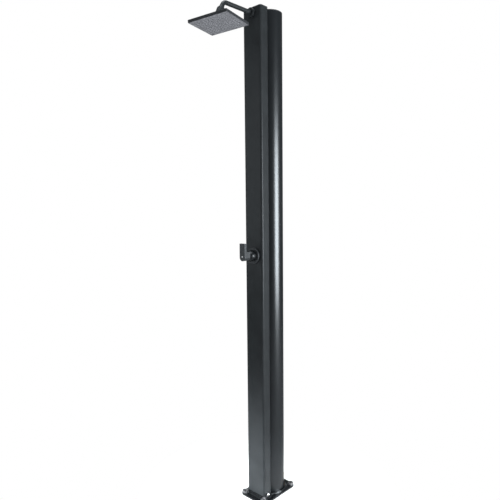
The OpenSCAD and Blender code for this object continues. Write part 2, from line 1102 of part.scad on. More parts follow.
module cartridge_housing() {
    color(white_plastic)
        at_mixer()
            difference() {
                translate([0, 0, housing_back])
                    cylinder(r = housing_r, h = neck_front - housing_back);
                translate([0, 0, housing_floor])
                    cylinder(r = housing_bore_r, h = neck_front - housing_floor + past);
                for (i = [0 : cart_ports - 1])
                    rotate(90 + i * 360 / cart_ports)
                        translate([cart_port_ring_r, 0, housing_back - past])
                            cylinder(r = cart_port_r, h = neck_front - housing_back);
            }
}

module cartridge_seals() {
    color(rubber)
        at_mixer()
            for (i = [0 : cart_ports - 1])
                rotate(90 + i * 360 / cart_ports)
                    translate([cart_port_ring_r, 0, 0]) {
                        translate([0, 0, chamber_back])
                            ring(cart_seal_r, cart_port_r, housing_back - chamber_back);
                        translate([0, 0, housing_floor])
                            ring(cart_seal_r, cart_port_r, disc_back - housing_floor);
                    }
}

module fixed_disc() {
    color(ceramic)
        at_mixer()
            difference() {
                translate([0, 0, disc_back])
                    cylinder(r = disc_r, h = disc_t);
                for (i = [0 : cart_ports - 1])
                    rotate(90 + i * 360 / cart_ports)
                        translate([cart_port_ring_r, 0, disc_back - past])
                            cylinder(r = cart_port_r, h = disc_t + 2 * past);
            }
}

// Lies at the lower end of its travel when the lever is closed
module moving_disc() {
    color(ceramic)
        at_mixer()
            translate([0, -slide_travel / 2, disc_back + disc_t])
                difference() {
                    cylinder(r = slide_disc_r, h = disc_t);
                    translate([0, 0, -past])
                        cylinder(r = 2 * cart_port_r, h = disc_t / 2 + past);
                }
}

module disc_slider() {
    color(white_plastic)
        at_mixer()
            difference() {
                intersection() {
                    translate([0, -slide_travel / 2, carrier_back])
                        cylinder(r = slide_disc_r, h = slider_front - carrier_back);
                    translate([-slider_half_w, -sleeve_r, carrier_back])
                        cube([2 * slider_half_w, 2 * sleeve_r, slider_front - carrier_back]);
                }
                translate([-slider_pocket, -slider_pocket, slider_pocket_back])
                    cube([2 * slider_pocket, 2 * slider_pocket, slider_front]);
            }
}

module cartridge_nut() {
    color(brass)
        at_mixer()
            difference() {
                translate([0, 0, cart_nut_back])
                    cylinder(r = cart_nut_out_r, h = cart_nut_front - cart_nut_back);
                translate([0, 0, cart_nut_back - past])
                    cylinder(r = neck_r + snug, h = neck_front - cart_nut_back + past);
                cylinder(r = cart_nut_in_r, h = cart_nut_front + past);
            }
}

module stem_carrier() {
    color(white_plastic)
        at_mixer()
            difference() {
                translate([0, 0, carrier_back])
                    cylinder(r = carrier_r, h = carrier_front - carrier_back);
                translate([-slider_half_w - snug, -sleeve_r, carrier_back - past])
                    cube([2 * (slider_half_w + snug), 2 * sleeve_r,
                          carrier_leg_front - carrier_back + past]);
                translate([-slot_half_w, -slot_low, 0])
                    cube([2 * slot_half_w, slot_low + slot_high, carrier_front + past]);
                translate([-sleeve_r, 0, pivot])
                    rotate([0, 90, 0])
                        cylinder(r = pin_r + snug, h = 2 * sleeve_r);
            }
}

module stem_pin() {
    color(bright_steel)
        at_mixer()
            translate([-pin_half_l, 0, pivot])
                rotate([0, 90, 0])
                    cylinder(r = pin_r, h = 2 * pin_half_l);
}

// Outline of the slot that the lever's neck sweeps, seen from the side:
// first number up, second number out from the pivot
function tipped(up, out) =
    [up * cos(lift_angle) - out * sin(lift_angle),
     up * sin(lift_angle) + out * cos(lift_angle)];

module neck_slot() {
    translate([neck_slot_half_w, 0, pivot])
        rotate([0, -90, 0])
            rotate([0, 0, 90])
                linear_extrude(2 * neck_slot_half_w)
                    mirror([0, 1])
                        polygon([
                            [neck_slot_half_w, neck_slot_near],
                            [neck_slot_half_w, neck_slot_far],
                            tipped(-neck_slot_half_w, neck_slot_far),
                            tipped(-neck_slot_half_w, neck_slot_near)
                        ]);
}

module domed_sleeve() {
    color(anthracite)
        at_mixer()
            difference() {
                union() {
                    difference() {
                        union() {
                            translate([0, 0, sleeve_back])
                                cylinder(r = sleeve_r, h = pivot - sleeve_back);
                            translate([0, 0, pivot])
                                sphere(sleeve_r);
                        }
                        translate([0, 0, sleeve_back - sleeve_d])
                            cylinder(r = sleeve_d, h = sleeve_d);
                        cylinder(r = sleeve_bore_r, h = pivot);
                        translate([0, 0, pivot])
                            sphere(sleeve_bore_r);
                    }
                    translate([0, 0, carrier_front])
                        cylinder(r = sleeve_web_r, h = sleeve_web_t);
                }
                neck_slot();
                translate([-web_slot_half_w, web_slot_low, carrier_front - past])
                    cube([2 * web_slot_half_w, web_slot_high - web_slot_low,
                          sleeve_web_t + 2 * past]);
            }
}

module lever_stem() {
    color(bright_steel)
        at_mixer()
            difference() {
                union() {
                    translate([-stem_half_w, -stem_half_w, stem_back])
                        cube([2 * stem_half_w, 2 * stem_half_w, stem_front - stem_back]);
                    translate([0, 0, stem_back])
                        sphere(stem_ball_r);
                }
                translate([-sleeve_r, 0, pivot])
                    rotate([0, 90, 0])
                        cylinder(r = pin_r + snug, h = 2 * sleeve_r);
            }
}

module lever_outline(high) {
    translate([0, -hub_low])
        circle(lever_w / 2);
    translate([-lever_w / 2, -hub_low])
        square([lever_w, high + hub_low]);
}

module lever() {
    socket = 2 * (stem_half_w + snug);
    color(anthracite)
        at_mixer()
            difference() {
                union() {
                    difference() {
                        union() {
                            translate([0, 0, hub_back])
                                linear_extrude(lever_reach - hub_back)
                                    lever_outline(hub_high);
                            translate([0, 0, lever_reach - lever_t])
                                linear_extrude(lever_t)
                                    lever_outline(lever_top);
                        }
                        translate([0, 0, pivot])
                            sphere(hub_cup_r);
                    }
                    translate([0, 0, neck_part_back])
                        cylinder(r = neck_part_r, h = lever_reach / 2 - neck_part_back / 2);
                }
                translate([-socket / 2, -socket / 2, neck_part_back - past])
                    cube([socket, socket, lever_socket_front - neck_part_back + past]);
                translate([0, 0, lever_screw_at])
                    rotate([90, 0, 0])
                        cylinder(r = lever_screw_r + snug, h = lever_w);
                translate([0, 0, lever_reach - lever_cap_depth])
                    cylinder(r = lever_cap_r + snug, h = lever_cap_depth + past);
            }
}

module lever_screw() {
    color(steel)
        at_mixer()
            translate([0, -stem_half_w, lever_screw_at])
                rotate([90, 0, 0])
                    cylinder(r = lever_screw_r, h = lever_screw_l);
}

module lever_cap() {
    color(bright_steel)
        at_mixer()
            translate([0, 0, lever_reach - lever_cap_depth])
                cylinder(r = lever_cap_r, h = lever_cap_depth);
}

// Arm

module arm_elbow() {
    color(brass)
        difference() {
            union() {
                at_arm(hose_y)
                    cylinder(r = elbow_r, h = hose_y - front_y + elbow_out);
                at_arm(front_y + front_wall + elbow_flange_t)
                    cylinder(r = elbow_flange_r, h = elbow_flange_t);
                translate([0, hose_y, arm_z - elbow_down])
                    cylinder(r = elbow_r, h = elbow_down);
                translate([0, hose_y, arm_z])
                    sphere(elbow_r);
                translate(mixed_end)
                    cylinder(r = stub_r, h = arm_z - mixed_end[2]);
            }
            at_arm(front_y + elbow_socket_back)
                cylinder(r = arm_r + snug, h = hose_y - front_y + elbow_out);
            at_arm(hose_y)
                cylinder(r = feed_bore_r, h = hose_y - front_y);
            translate(mixed_end - [0, 0, past])
                cylinder(r = feed_bore_r, h = arm_z - mixed_end[2] + past);
        }
}

module arm_backnut() {
    color(brass)
        at_arm(front_y)
            difference() {
                hex_bar(arm_nut_d * cos(30), arm_nut_t);
                translate([0, 0, -past])
                    cylinder(r = elbow_r + snug, h = arm_nut_t + 2 * past);
            }
}

module arm_seal() {
    color(rubber)
        at_arm(front_y + elbow_socket_back)
            ring(arm_r, arm_seal_in_r, arm_seal_t);
}

module arm_flange() {
    color(anthracite)
        at_arm(front_y)
            difference() {
                soft_disc(flange_r, flange_t, edge_r);
                translate([0, 0, -past])
                    cylinder(r = flange_r - flange_wall, h = flange_t - flange_wall + past);
                cylinder(r = arm_r + snug, h = flange_t + past);
            }
}

module arm_bend(r) {
    inside = elbow_socket_back - arm_seal_t;
    at_arm(front_y + inside)
        cylinder(r = r, h = arm_reach + inside);
    translate([0, bend_y, arm_z - arm_bend_r])
        rotate([0, -90, 180])
            rotate_extrude(angle = arm_bend_angle)
                translate([arm_bend_r, 0])
                    circle(r);
}

// The bent tube, and the ferrule on its tip that the swivel nut screws onto
module arm_tube() {
    ferrule_l = ball_from_bend - arm_tip + ferrule_over;
    color(anthracite)
        difference() {
            union() {
                arm_bend(arm_r);
                at_tip()
                    translate([0, 0, arm_tip])
                        cylinder(r = ferrule_r, h = ferrule_l);
            }
            arm_bend(arm_bore_r);
            at_arm(front_y + elbow_socket_back)
                cylinder(r = arm_bore_r, h = 2 * past);
            at_tip()
                translate([0, 0, arm_tip - past])
                    cylinder(r = ferrule_bore_r, h = ferrule_l + past);
        }
}

module swivel_nut() {
    color(anthracite)
        at_tip()
            difference() {
                union() {
                    translate([0, 0, nut_low])
                        cylinder(r = nut_big_r, h = nut_big_top - nut_low);
                    translate([0, 0, nut_big_top])
                        cylinder(r = nut_small_r, h = nut_top - nut_big_top);
                }
                translate([0, 0, nut_low - past])
                    cylinder(r = nut_lip_r, h = nut_top);
                translate([0, 0, stem_flange_low])
                    cylinder(r = nut_cavity_r, h = nut_top);
                translate([0, 0, arm_tip])
                    cylinder(r = ferrule_r + snug, h = nut_top);
                for (i = [0 : nut_grooves - 1])
                    rotate(i * 360 / nut_grooves)
                        translate([nut_big_r, 0, nut_low - past])
                            cylinder(r = nut_groove_r, h = nut_big_top - nut_low + past);
            }
}

module filter_washer() {
    color(steel)
        at_tip()
            translate([0, 0, stem_flange_top])
                ring(stem_flange_r, stem_bore_r, arm_tip - stem_flange_top);
}

module ball_stem() {
    color(bright_steel)
        at_tip()
            difference() {
                union() {
                    sphere(ball_r);
                    cylinder(r = stem_neck_r, h = stem_flange_top);
                    translate([0, 0, stem_flange_low])
                        cylinder(r = stem_flange_r, h = stem_flange_top - stem_flange_low);
                }
                translate([0, 0, -ball_r - past])
                    cylinder(r = stem_bore_r, h = ball_r + stem_flange_top + 2 * past);
            }
}

// Head

module ball_seat() {
    color(white_plastic)
        at_head()
            difference() {
                translate([0, 0, hub_floor])
                    cylinder(r = hub_bore_r - seat_fit, h = seat_top - hub_floor);
                sphere(ball_r + seat_fit);
                translate([0, 0, hub_floor - past])
                    cylinder(r = water_r, h = ball_r);
            }
}

module ball_ring() {
    color(anthracite)
        at_head()
            difference() {
                translate([0, 0, ring_low])
                    cylinder(r = ring_r, h = ring_top - ring_low);
                translate([0, 0, ring_low - past])
                    cylinder(r = hub_r + snug, h = ring_step - ring_low + past);
                sphere(ball_r + seat_fit);
                for (i = [0 : ring_grooves - 1])
                    rotate(i * 360 / ring_grooves)
                        translate([ring_r, 0, ring_low - past])
                            cylinder(r = nut_groove_r, h = ring_top - ring_low + 2 * past);
            }
}

module head_square(size, r, low, h) {
    translate([0, 0, low])
        linear_extrude(h)
            rounded_rect(size, size, r);
}

module at_head_corners() {
    for (x = sides, y = sides)
        translate([x * head_boss_at, y * head_boss_at, 0])
            children();
}

module head_shell() {
    inner = head_w - 2 * head_wall;
    inner_r = head_corner_r - head_wall;
    mat_top = head_bottom + plate_t + mat_t;
    ledge_low = mat_top + head_gasket_t;
    color(anthracite)
        at_head()
            difference() {
                union() {
                    difference() {
                        head_square(head_w, head_corner_r, head_bottom, head_h);
                        head_square(inner, inner_r, head_bottom - past,
                                    head_h - head_wall + past);
                    }
                    difference() {
                        head_square(inner, inner_r, ledge_low, ledge_t);
                        head_square(inner - 2 * ledge_w, inner_r, ledge_low - past,
                                    ledge_t + 2 * past);
                    }
                    at_head_corners()
                        translate([0, 0, mat_top])
                            cylinder(r = head_boss_r, h = head_top - mat_top);
                    translate([0, 0, head_top - head_wall])
                        cylinder(r = hub_r, h = hub_top - head_top + head_wall);
                }
                translate([0, 0, hub_floor])
                    cylinder(r = hub_bore_r, h = hub_top - hub_floor + past);
                translate([0, 0, head_top - head_wall - past])
                    cylinder(r = water_r, h = hub_top - head_top + past);
                at_head_corners()
                    translate([0, 0, head_bottom])
                        cylinder(r = head_screw_r + snug, h = head_screw_l + past);
            }
}

module head_gasket() {
    outer = head_w - 2 * head_wall - 2 * plate_gap;
    low = head_bottom + plate_t + mat_t;
    color(rubber)
        at_head()
            difference() {
                head_square(outer, head_corner_r - head_wall, low, head_gasket_t);
                head_square(outer - 2 * gasket_w, head_corner_r - head_wall, low - past,
                            head_gasket_t + 2 * past);
                at_head_corners()
                    translate([0, 0, low - past])
                        cylinder(r = head_boss_r + snug, h = head_gasket_t + 2 * past);
            }
}

module at_nozzles() {
    first = -(nozzle_rows - 1) * nozzle_pitch / 2;
    for (i = [0 : nozzle_rows - 1], j = [0 : nozzle_rows - 1])
        translate([first + i * nozzle_pitch, first + j * nozzle_pitch, head_bottom])
            children();
}

module nozzle_mat() {
    outer = head_w - 2 * head_wall - 2 * plate_gap;
    color(pale_grey)
        at_head()
            difference() {
                union() {
                    head_square(outer, head_corner_r - head_wall, head_bottom + plate_t, mat_t);
                    at_nozzles()
                        translate([0, 0, -nozzle_out])
                            cylinder(r1 = nozzle_tip_r, r2 = nozzle_r,
                                     h = nozzle_out + plate_t, $fn = 24);
                }
                at_nozzles()
                    translate([0, 0, -nozzle_out - past])
                        cylinder(r = nozzle_bore_r, h = nozzle_out + plate_t + mat_t + 2 * past,
                                 $fn = 16);
                at_head_corners()
                    translate([0, 0, head_bottom])
                        cylinder(r = head_screw_r + snug, h = head_h);
            }
}

module spray_plate() {
    outer = head_w - 2 * head_wall - 2 * plate_gap;
    color(pale_grey)
        at_head()
            difference() {
                head_square(outer, head_corner_r - head_wall, head_bottom, plate_t);
                at_nozzles()
                    translate([0, 0, -past])
                        cylinder(r = nozzle_r + snug, h = plate_t + 2 * past, $fn = 24);
                at_head_corners()
                    translate([0, 0, head_bottom])
                        countersunk(head_screw_r + snug, head_screw_head_r + snug,
                                    head_screw_head_h, plate_t + past);
            }
}

module head_screws() {
    color(steel)
        at_head()
            at_head_corners()
                translate([0, 0, head_bottom])
                    countersunk(head_screw_r, head_screw_head_r, head_screw_head_h,
                                head_screw_l);
}

foot_casting();
post_spigot();
spigot_screws();
side_bolts();
tank_seat();
seat_screws();
front_column();
front_cap();
column_saddles();
saddle_screws();
tank_tube();
tank_top_plug();
tank_bottom_plug();
tank_seals();
tank_snap_rings();
tank_cover();
standpipe();
inlet_thread();
inlet_seal();
inlet_locknut();
check_valve();
inlet_tee();
feed_nipple();
warm_elbow();
cold_hose();
warm_hose();
mixed_hose();
hose_nuts();
mixer_body();
mixer_gasket();
mixer_backnut();
escutcheon();
cartridge_housing();
cartridge_seals();
fixed_disc();
moving_disc();
disc_slider();
cartridge_nut();
stem_carrier();
stem_pin();
domed_sleeve();
lever_stem();
lever();
lever_screw();
lever_cap();
arm_elbow();
arm_backnut();
arm_seal();
arm_flange();
arm_tube();
swivel_nut();
filter_washer();
ball_stem();
ball_seat();
ball_ring();
head_shell();
head_gasket();
nozzle_mat();
spray_plate();
head_screws();
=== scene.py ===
import json
import math

import bmesh
import bpy
from mathutils import Matrix, Vector


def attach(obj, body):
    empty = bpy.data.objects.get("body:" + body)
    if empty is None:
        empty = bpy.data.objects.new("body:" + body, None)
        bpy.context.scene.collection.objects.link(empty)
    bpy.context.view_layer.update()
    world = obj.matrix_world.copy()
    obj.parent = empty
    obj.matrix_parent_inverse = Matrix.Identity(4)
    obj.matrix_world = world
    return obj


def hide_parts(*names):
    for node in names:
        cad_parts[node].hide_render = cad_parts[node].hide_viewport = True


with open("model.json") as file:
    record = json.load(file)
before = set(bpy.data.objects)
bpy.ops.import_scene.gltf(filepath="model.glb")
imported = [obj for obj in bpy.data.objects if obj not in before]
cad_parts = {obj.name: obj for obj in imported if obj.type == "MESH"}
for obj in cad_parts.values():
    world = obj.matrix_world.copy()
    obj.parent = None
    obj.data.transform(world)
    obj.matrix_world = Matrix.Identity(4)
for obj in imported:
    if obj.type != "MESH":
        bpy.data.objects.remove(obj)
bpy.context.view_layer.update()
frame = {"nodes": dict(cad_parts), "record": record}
nodes = frame["nodes"]
MM = 0.001
SAME_PLACE = 1e-6
# Play in millimetres that keeps two faces from lying in one plane
HAIR = 0.02

# Sizes in millimetres: the part's own, and those of details that only the scene has

# Columns and their covers; COVER_SEAM is the line that shows under a cover
HEIGHT = 2214
COVER_T = 4
COVER_Z = HEIGHT - COVER_T
COVER_SEAM = 0.25
FRONT_W, FRONT_D, FRONT_R, FRONT_WALL = 104, 50, 9, 2.5
FRONT_Y = -85.5
FRONT_MID_Y = FRONT_Y + FRONT_D / 2
FRONT_BACK_Y = FRONT_Y + FRONT_D
COLUMN_GAP = 1
TANK_R, TANK_WALL = 60, 3
TANK_Y = FRONT_BACK_Y + COLUMN_GAP + TANK_R
TANK_BACK_Y = TANK_Y + TANK_R
# Lip under the front cap, which sits inside the tube
LIP_R, LIP_DEPTH, LIP_PLAY = 6.4, 10, 0.1
SADDLE_HALF_W, SADDLE_HALF_H = 30, 30
SADDLE_Z = (("low", 300), ("middle", 1300), ("high", 2060))
VALVE_HOLE_R, ARM_HOLE_R, INLET_HOLE_R = 21, 12.3, 13.27
# Opening low between the two tubes, for the hoses: its lowest and highest corner
WINDOW = ((-32, -48, 26), (32, -18, 66))
# How far the cutters of the round holes reach inwards and outwards of a face
CUT_IN, CUT_OUT = -6, 4

# Foot and side bolts
FOOT_T = 8
ANCHOR_X, ANCHOR_Y, BOSS_R = 58.5, 98.5, 15
BOLT_Z, BOLT_FORWARD, BOLT_SHANK_R, BOLT_HEAD_R = 27, 4, 5, 10
BOLT_DOME_R, BOLT_DOME_START, SOCKET_R = 11.84, 32, 4.04
# Distances from the middle of the front tube
BOLT_ROOT, BOLT_SEAT, BOLT_DOME_MID = 38, 58, 51.66
SOCKET_FLOOR, SOCKET_TOP = 60.5, 66

# Mixer
VALVE_Z = 1143
PLATE_R, PLATE_T, PLATE_BORE_R, PLATE_FLOOR_R, PLATE_FLOOR_T = 36, 9, 25.2, 20.8, 3
SLEEVE_R, SLEEVE_BORE_R, SLEEVE_LOW, DOME_Z = 25, 22.6, 9.4, 20
NECK_HALF = 6.4
CAP_R, CAP_LOW, CAP_RIM, CAP_TOP = 3.2, 72.5, 74.05, 74.3

# Arm
ARM_Z = 2190
ARM_R, FERRULE_R = 9, 9.5
ARM_REACH, BEND_R, TIP_SLOPE, BALL_FROM_BEND = 149, 24, 24, 56.7
BEND_ANGLE = 90 - TIP_SLOPE
ARM_SNUG_R = 9.05
FLANGE_R, FLANGE_T, FLANGE_INNER_R, FLANGE_ROOF = 20, 12, 17.5, 9.5
NUT_R, NUT_NECK_R, FLUTE, FLUTE_HALF_W = 17, 13, 0.8, 0.95
BALL_R, BALL_BORE_R = 12, 3
STEM_R, STEM_FOOT_R = 5.5, 8.8

# Head
HEAD_SIZE = 180
HEAD_BOTTOM = -29
HEAD_T = 12
HEAD_TOP = HEAD_BOTTOM + HEAD_T
HEAD_SPIN, HEAD_PITCH, HEAD_ROLL = 15.7, 1, -3.9
HEAD_R, HEAD_WALL, HEAD_INNER_R = 3, 1.6, 1.4
HUB_R, HUB_BORE_R, HUB_FLOOR = 15, 13.2, -13.9
NOZZLE_ROWS, NOZZLE_PITCH = 10, 16
MAT_W, MAT_LOW, MAT_TOP = 176.4, -27.5, -26

# Inlet
INLET_Z = 42
PIPE_R, THREAD_DEPTH, THREAD_PITCH = 13.22, 1.16, 1.814
THREAD_LOW, THREAD_HIGH = 7, 21
# Share of the pitch that a flat crest or root takes
THREAD_FLAT = 0.08
# Lengths over which the thread fades, and the share of it that is left FADE_OUT below its end
FADE_IN, FADE_OUT, FADE_LEFT = 1.2, 0.9, 0.35
INLET_BORE_R, NIPPLE_R = 6, 9
HEX_ACROSS, HEX_LOW = 36, 1.5


# Places: matrices in millimetres from a piece's own axes to the shared frame

def shift(x, y, z):
    """A move along the axes."""
    return Matrix.Translation((x, y, z))


def turn(angle, axis):
    """A turn by an angle in degrees about X, Y or Z."""
    return Matrix.Rotation(math.radians(angle), 4, axis)


AT_MIXER = shift(0, FRONT_Y, VALVE_Z) @ turn(90, "X")
AT_ARM = shift(0, FRONT_Y, ARM_Z) @ turn(90, "X")
AT_TIP = (
    shift(0, FRONT_Y - ARM_REACH, ARM_Z - BEND_R)
    @ turn(-TIP_SLOPE, "X")
    @ shift(0, -BEND_R, -BALL_FROM_BEND)
)
BALL = AT_TIP @ Vector((0, 0, 0))
AT_HEAD = (
    shift(*BALL)
    @ turn(HEAD_SPIN, "Z")
    @ turn(HEAD_PITCH, "X")
    @ turn(HEAD_ROLL, "Y")
)
AT_INLET = shift(0, TANK_BACK_Y, INLET_Z) @ turn(-90, "X")


# Mesh helpers

def finish_mesh(obj, sharp=35, weighted=True):
    """Smooth shading that stays sharp at edges over the angle sharp, in degrees."""
    mesh = obj.data
    mesh.polygons.foreach_set("use_smooth", [True] * len(mesh.polygons))
    mesh.set_sharp_from_angle(angle=math.radians(sharp))
    if weighted:
        modifier = obj.modifiers.new("normals", "WEIGHTED_NORMAL")
        modifier.keep_sharp = True
        modifier.weight = 100
    return obj


def make(name, points, faces, place=None, sharp=35, weighted=True):
    """An object from points in millimetres, set in the shared frame by its place."""
    place = place or Matrix.Identity(4)
    mesh = bpy.data.meshes.new(name)
    mesh.from_pydata([(place @ Vector(p)) * MM for p in points], [], faces)
    mesh.validate()
    bm = bmesh.new()
    bm.from_mesh(mesh)
    bmesh.ops.recalc_face_normals(bm, faces=bm.faces)
    bm.to_mesh(mesh)
    bm.free()
    obj = bpy.data.objects.new(name, mesh)
    bpy.context.scene.collection.objects.link(obj)
    return finish_mesh(obj, sharp, weighted)


def filleted(corners, steps=8):
    """Points of an outline whose corners (a, b, radius) are rounded."""
    out = []
    count = len(corners)
    for i, (a, b, radius) in enumerate(corners):
        here = Vector((a, b))
        if radius <= 0:
            out.append((a, b))
            continue
        before = (Vector(corners[i - 1][:2]) - here).normalized()
        after = (Vector(corners[(i + 1) % count][:2]) - here).normalized()
        half = before.angle(after) / 2
        reach = radius / math.tan(half)
        centre = here + (before + after).normalized() * (radius / math.sin(half))
        start = here + before * reach - centre
        end = here + after * reach - centre
        sweep = start.angle_signed(end)
        first = math.atan2(start.y, start.x)
        for k in range(steps + 1):
            t = first - sweep * k / steps
            out.append((centre.x + radius * math.cos(t), centre.y + radius * math.sin(t)))
    return out


def lathe(name, corners, place, around=96, steps=6):
    """Turns a closed outline of (radius, height, fillet) about the piece's own Z."""
    ring = filleted(corners, steps)
    points = []
    for k in range(around):
        a = 2 * math.pi * k / around
        points += [(r * math.cos(a), r * math.sin(a), z) for r, z in ring]
    n = len(ring)
    faces = []
    for k in range(around):
        m = (k + 1) % around
        for i in range(n):
            j = (i + 1) % n
            faces.append((k * n + i, m * n + i, m * n + j, k * n + j))
    return weld(make(name, points, faces, place))


def weld(obj):
    """Joins points that lie on each other, such as those on the axis of a turned piece."""
    bm = bmesh.new()
    bm.from_mesh(obj.data)
    bmesh.ops.remove_doubles(bm, verts=bm.verts, dist=SAME_PLACE)
    bmesh.ops.dissolve_degenerate(bm, edges=bm.edges, dist=SAME_PLACE)
    bmesh.ops.recalc_face_normals(bm, faces=bm.faces)
    bm.to_mesh(obj.data)
    bm.free()
    return obj


def rounded_rect(w, d, r):
    """Outline of a rectangle about the origin with rounded corners."""
    x, y = w / 2, d / 2
    return filleted([(x, y, r), (-x, y, r), (-x, -y, r), (x, -y, r)], 10)


# Shortest edge that has a direction; least cosine, which limits how far a sharp corner moves
SHORTEST, SHARPEST = 1e-9, 0.3


def inset(loop, amount):
    """The loop moved inwards by amount, point by point."""
    n = len(loop)
    area = sum(
        loop[i][0] * loop[(i + 1) % n][1] - loop[(i + 1) % n][0] * loop[i][1] for i in range(n)
    )
    side = 1 if area > 0 else -1
    out = []
    for i, (x, y) in enumerate(loop):
        a = Vector(loop[i]) - Vector(loop[i - 1])
        b = Vector(loop[(i + 1) % n]) - Vector(loop[i])
        a = a.normalized() if a.length > SHORTEST else b.normalized()
        b = b.normalized() if b.length > SHORTEST else a
        na = Vector((-a.y, a.x)) * side
        nb = Vector((-b.y, b.x)) * side
        mid = (na + nb).normalized()
        cosine = max(mid.dot(na), SHARPEST)
        out.append((x + mid.x * amount / cosine, y + mid.y * amount / cosine))
    return out


def stack(name, layers, place, caps=True, sharp=35):
    """A skin through loops of (points, height), capped or with the last joined to the first."""
    n = len(layers[0][0])
    points = [(x, y, z) for loop, z in layers for x, y in loop]
    faces = []
    for level in range(len(layers) - 1):
        for i in range(n):
            j = (i + 1) % n
            a, b = level * n, (level + 1) * n
            faces.append((a + i, a + j, b + j, b + i))
    if caps:
        faces.append(tuple(range(n - 1, -1, -1)))
        faces.append(tuple(range((len(layers) - 1) * n, len(layers) * n)))
    else:
        last = (len(layers) - 1) * n
        for i in range(n):
            j = (i + 1) % n
            faces.append((last + i, last + j, j, i))
    return make(name, points, faces, place, sharp)


def soft_prism(name, loop, low, high, edge, place, steps=4):
    """A prism whose upper and lower rims are rounded by edge."""
    layers = []
    for k in range(steps + 1):
        t = math.pi / 2 * k / steps
        layers.append((inset(loop, edge * (1 - math.sin(t))), low + edge * (1 - math.cos(t))))
    for k in range(steps + 1):
        t = math.pi / 2 * (1 - k / steps)
        layers.append((inset(loop, edge * (1 - math.sin(t))), high - edge * (1 - math.cos(t))))
    return stack(name, layers, place)


def apply_modifiers(obj):
    """Puts the modified mesh in the place of the object's own."""
    graph = bpy.context.evaluated_depsgraph_get()
    graph.update()
    mesh = bpy.data.meshes.new_from_object(obj.evaluated_get(graph))
    obj.modifiers.clear()
    old = obj.data
    obj.data = mesh
    bpy.data.meshes.remove(old)
    return obj


def cut(obj, *cutters):
    """Cuts the cutters out of the object and removes them."""
    for cutter in cutters:
        modifier = obj.modifiers.new("cut", "BOOLEAN")
        modifier.operation = "DIFFERENCE"
        modifier.solver = "EXACT"
        modifier.object = cutter
    bpy.context.view_layer.update()
    obj.modifiers.remove(obj.modifiers["normals"])
    apply_modifiers(obj)
    for cutter in cutters:
        bpy.data.objects.remove(cutter)
    return finish_mesh(obj)


def block(name, low, high):
    """A box between two corners."""
    (x0, y0, z0), (x1, y1, z1) = low, high
    loop = [(x0, y0), (x1, y0), (x1, y1), (x0, y1)]
    return stack(name, [(loop, z0), (loop, z1)], None)


def circle(radius, around=96):
    """Outline of a circle, or of a polygon when around is small."""
    return [(radius * math.cos(2 * math.pi * k / around),
             radius * math.sin(2 * math.pi * k / around)) for k in range(around)]


def rod(name, radius, low, high, place):
    """A round cutter along the axis of a place."""
    loop = circle(radius, 64)
    return stack(name, [(loop, low), (loop, high)], place)


# Materials: each has colour variation, roughness variation and a fine bump

def tree(name):
    """A new material with a Principled shader: material, tree, shader, object coordinates."""
    material = bpy.data.materials.new(name)
    material.use_nodes = True
    t = material.node_tree
    t.nodes.clear()
    out = t.nodes.new("ShaderNodeOutputMaterial")
    shader = t.nodes.new("ShaderNodeBsdfPrincipled")
    t.links.new(shader.outputs[0], out.inputs[0])
    where = t.nodes.new("ShaderNodeTexCoord")
    return material, t, shader, where.outputs["Object"]


def noise(t, where, scale, detail=4, rough=0.55):
    """Noise of so many waves to a metre."""
    n = t.nodes.new("ShaderNodeTexNoise")
    n.inputs["Scale"].default_value = scale
    n.inputs["Detail"].default_value = detail
    n.inputs["Roughness"].default_value = rough
    t.links.new(where, n.inputs["Vector"])
    return n.outputs["Fac"]


def spread(t, value, low, high, from_low=0.3, from_high=0.7):
    """Maps a value between from_low and from_high to low and high, and no further."""
    n = t.nodes.new("ShaderNodeMapRange")
    n.inputs["From Min"].default_value = from_low
    n.inputs["From Max"].default_value = from_high
    n.inputs["To Min"].default_value = low
    n.inputs["To Max"].default_value = high
    t.links.new(value, n.inputs["Value"])
    return n.outputs["Result"]


def mixed(t, factor, a, b):
    """Colour a where the factor is 0 and b where it is 1; each a colour or a socket."""
    n = t.nodes.new("ShaderNodeMix")
    n.data_type = "RGBA"
    t.links.new(factor, n.inputs["Factor"])
    for socket, value in ((n.inputs[6], a), (n.inputs[7], b)):
        if hasattr(value, "links"):
            t.links.new(value, socket)
        else:
            socket.default_value = (*value, 1)
    return n.outputs[2]


def arithmetic(t, operation, a, b=0):
    """One sum of two numbers or sockets."""
    n = t.nodes.new("ShaderNodeMath")
    n.operation = operation
    for socket, value in ((n.inputs[0], a), (n.inputs[1], b)):
        if hasattr(value, "links"):
            t.links.new(value, socket)
        else:
            socket.default_value = value
    return n.outputs[0]


def bump(t, shader, height, strength, distance):
    """Fine relief of the surface, its distance in millimetres."""
    n = t.nodes.new("ShaderNodeBump")
    n.inputs["Strength"].default_value = strength
    n.inputs["Distance"].default_value = distance * MM
    t.links.new(height, n.inputs["Height"])
    t.links.new(n.outputs[0], shader.inputs["Normal"])


def scaled(t, where, factors):
    """Coordinates stretched along the axes."""
    n = t.nodes.new("ShaderNodeMapping")
    n.inputs["Scale"].default_value = factors
    t.links.new(where, n.inputs["Vector"])
    return n.outputs[0]


def shaded(colour, factor, lift=0.0):
    """The colour made darker or lighter, at most white."""
    return tuple(min(1, c * factor + lift) for c in colour)


# The anthracite mirrors the studio in a slightly cool tone
SHEEN = (0.9, 0.955, 1, 1)


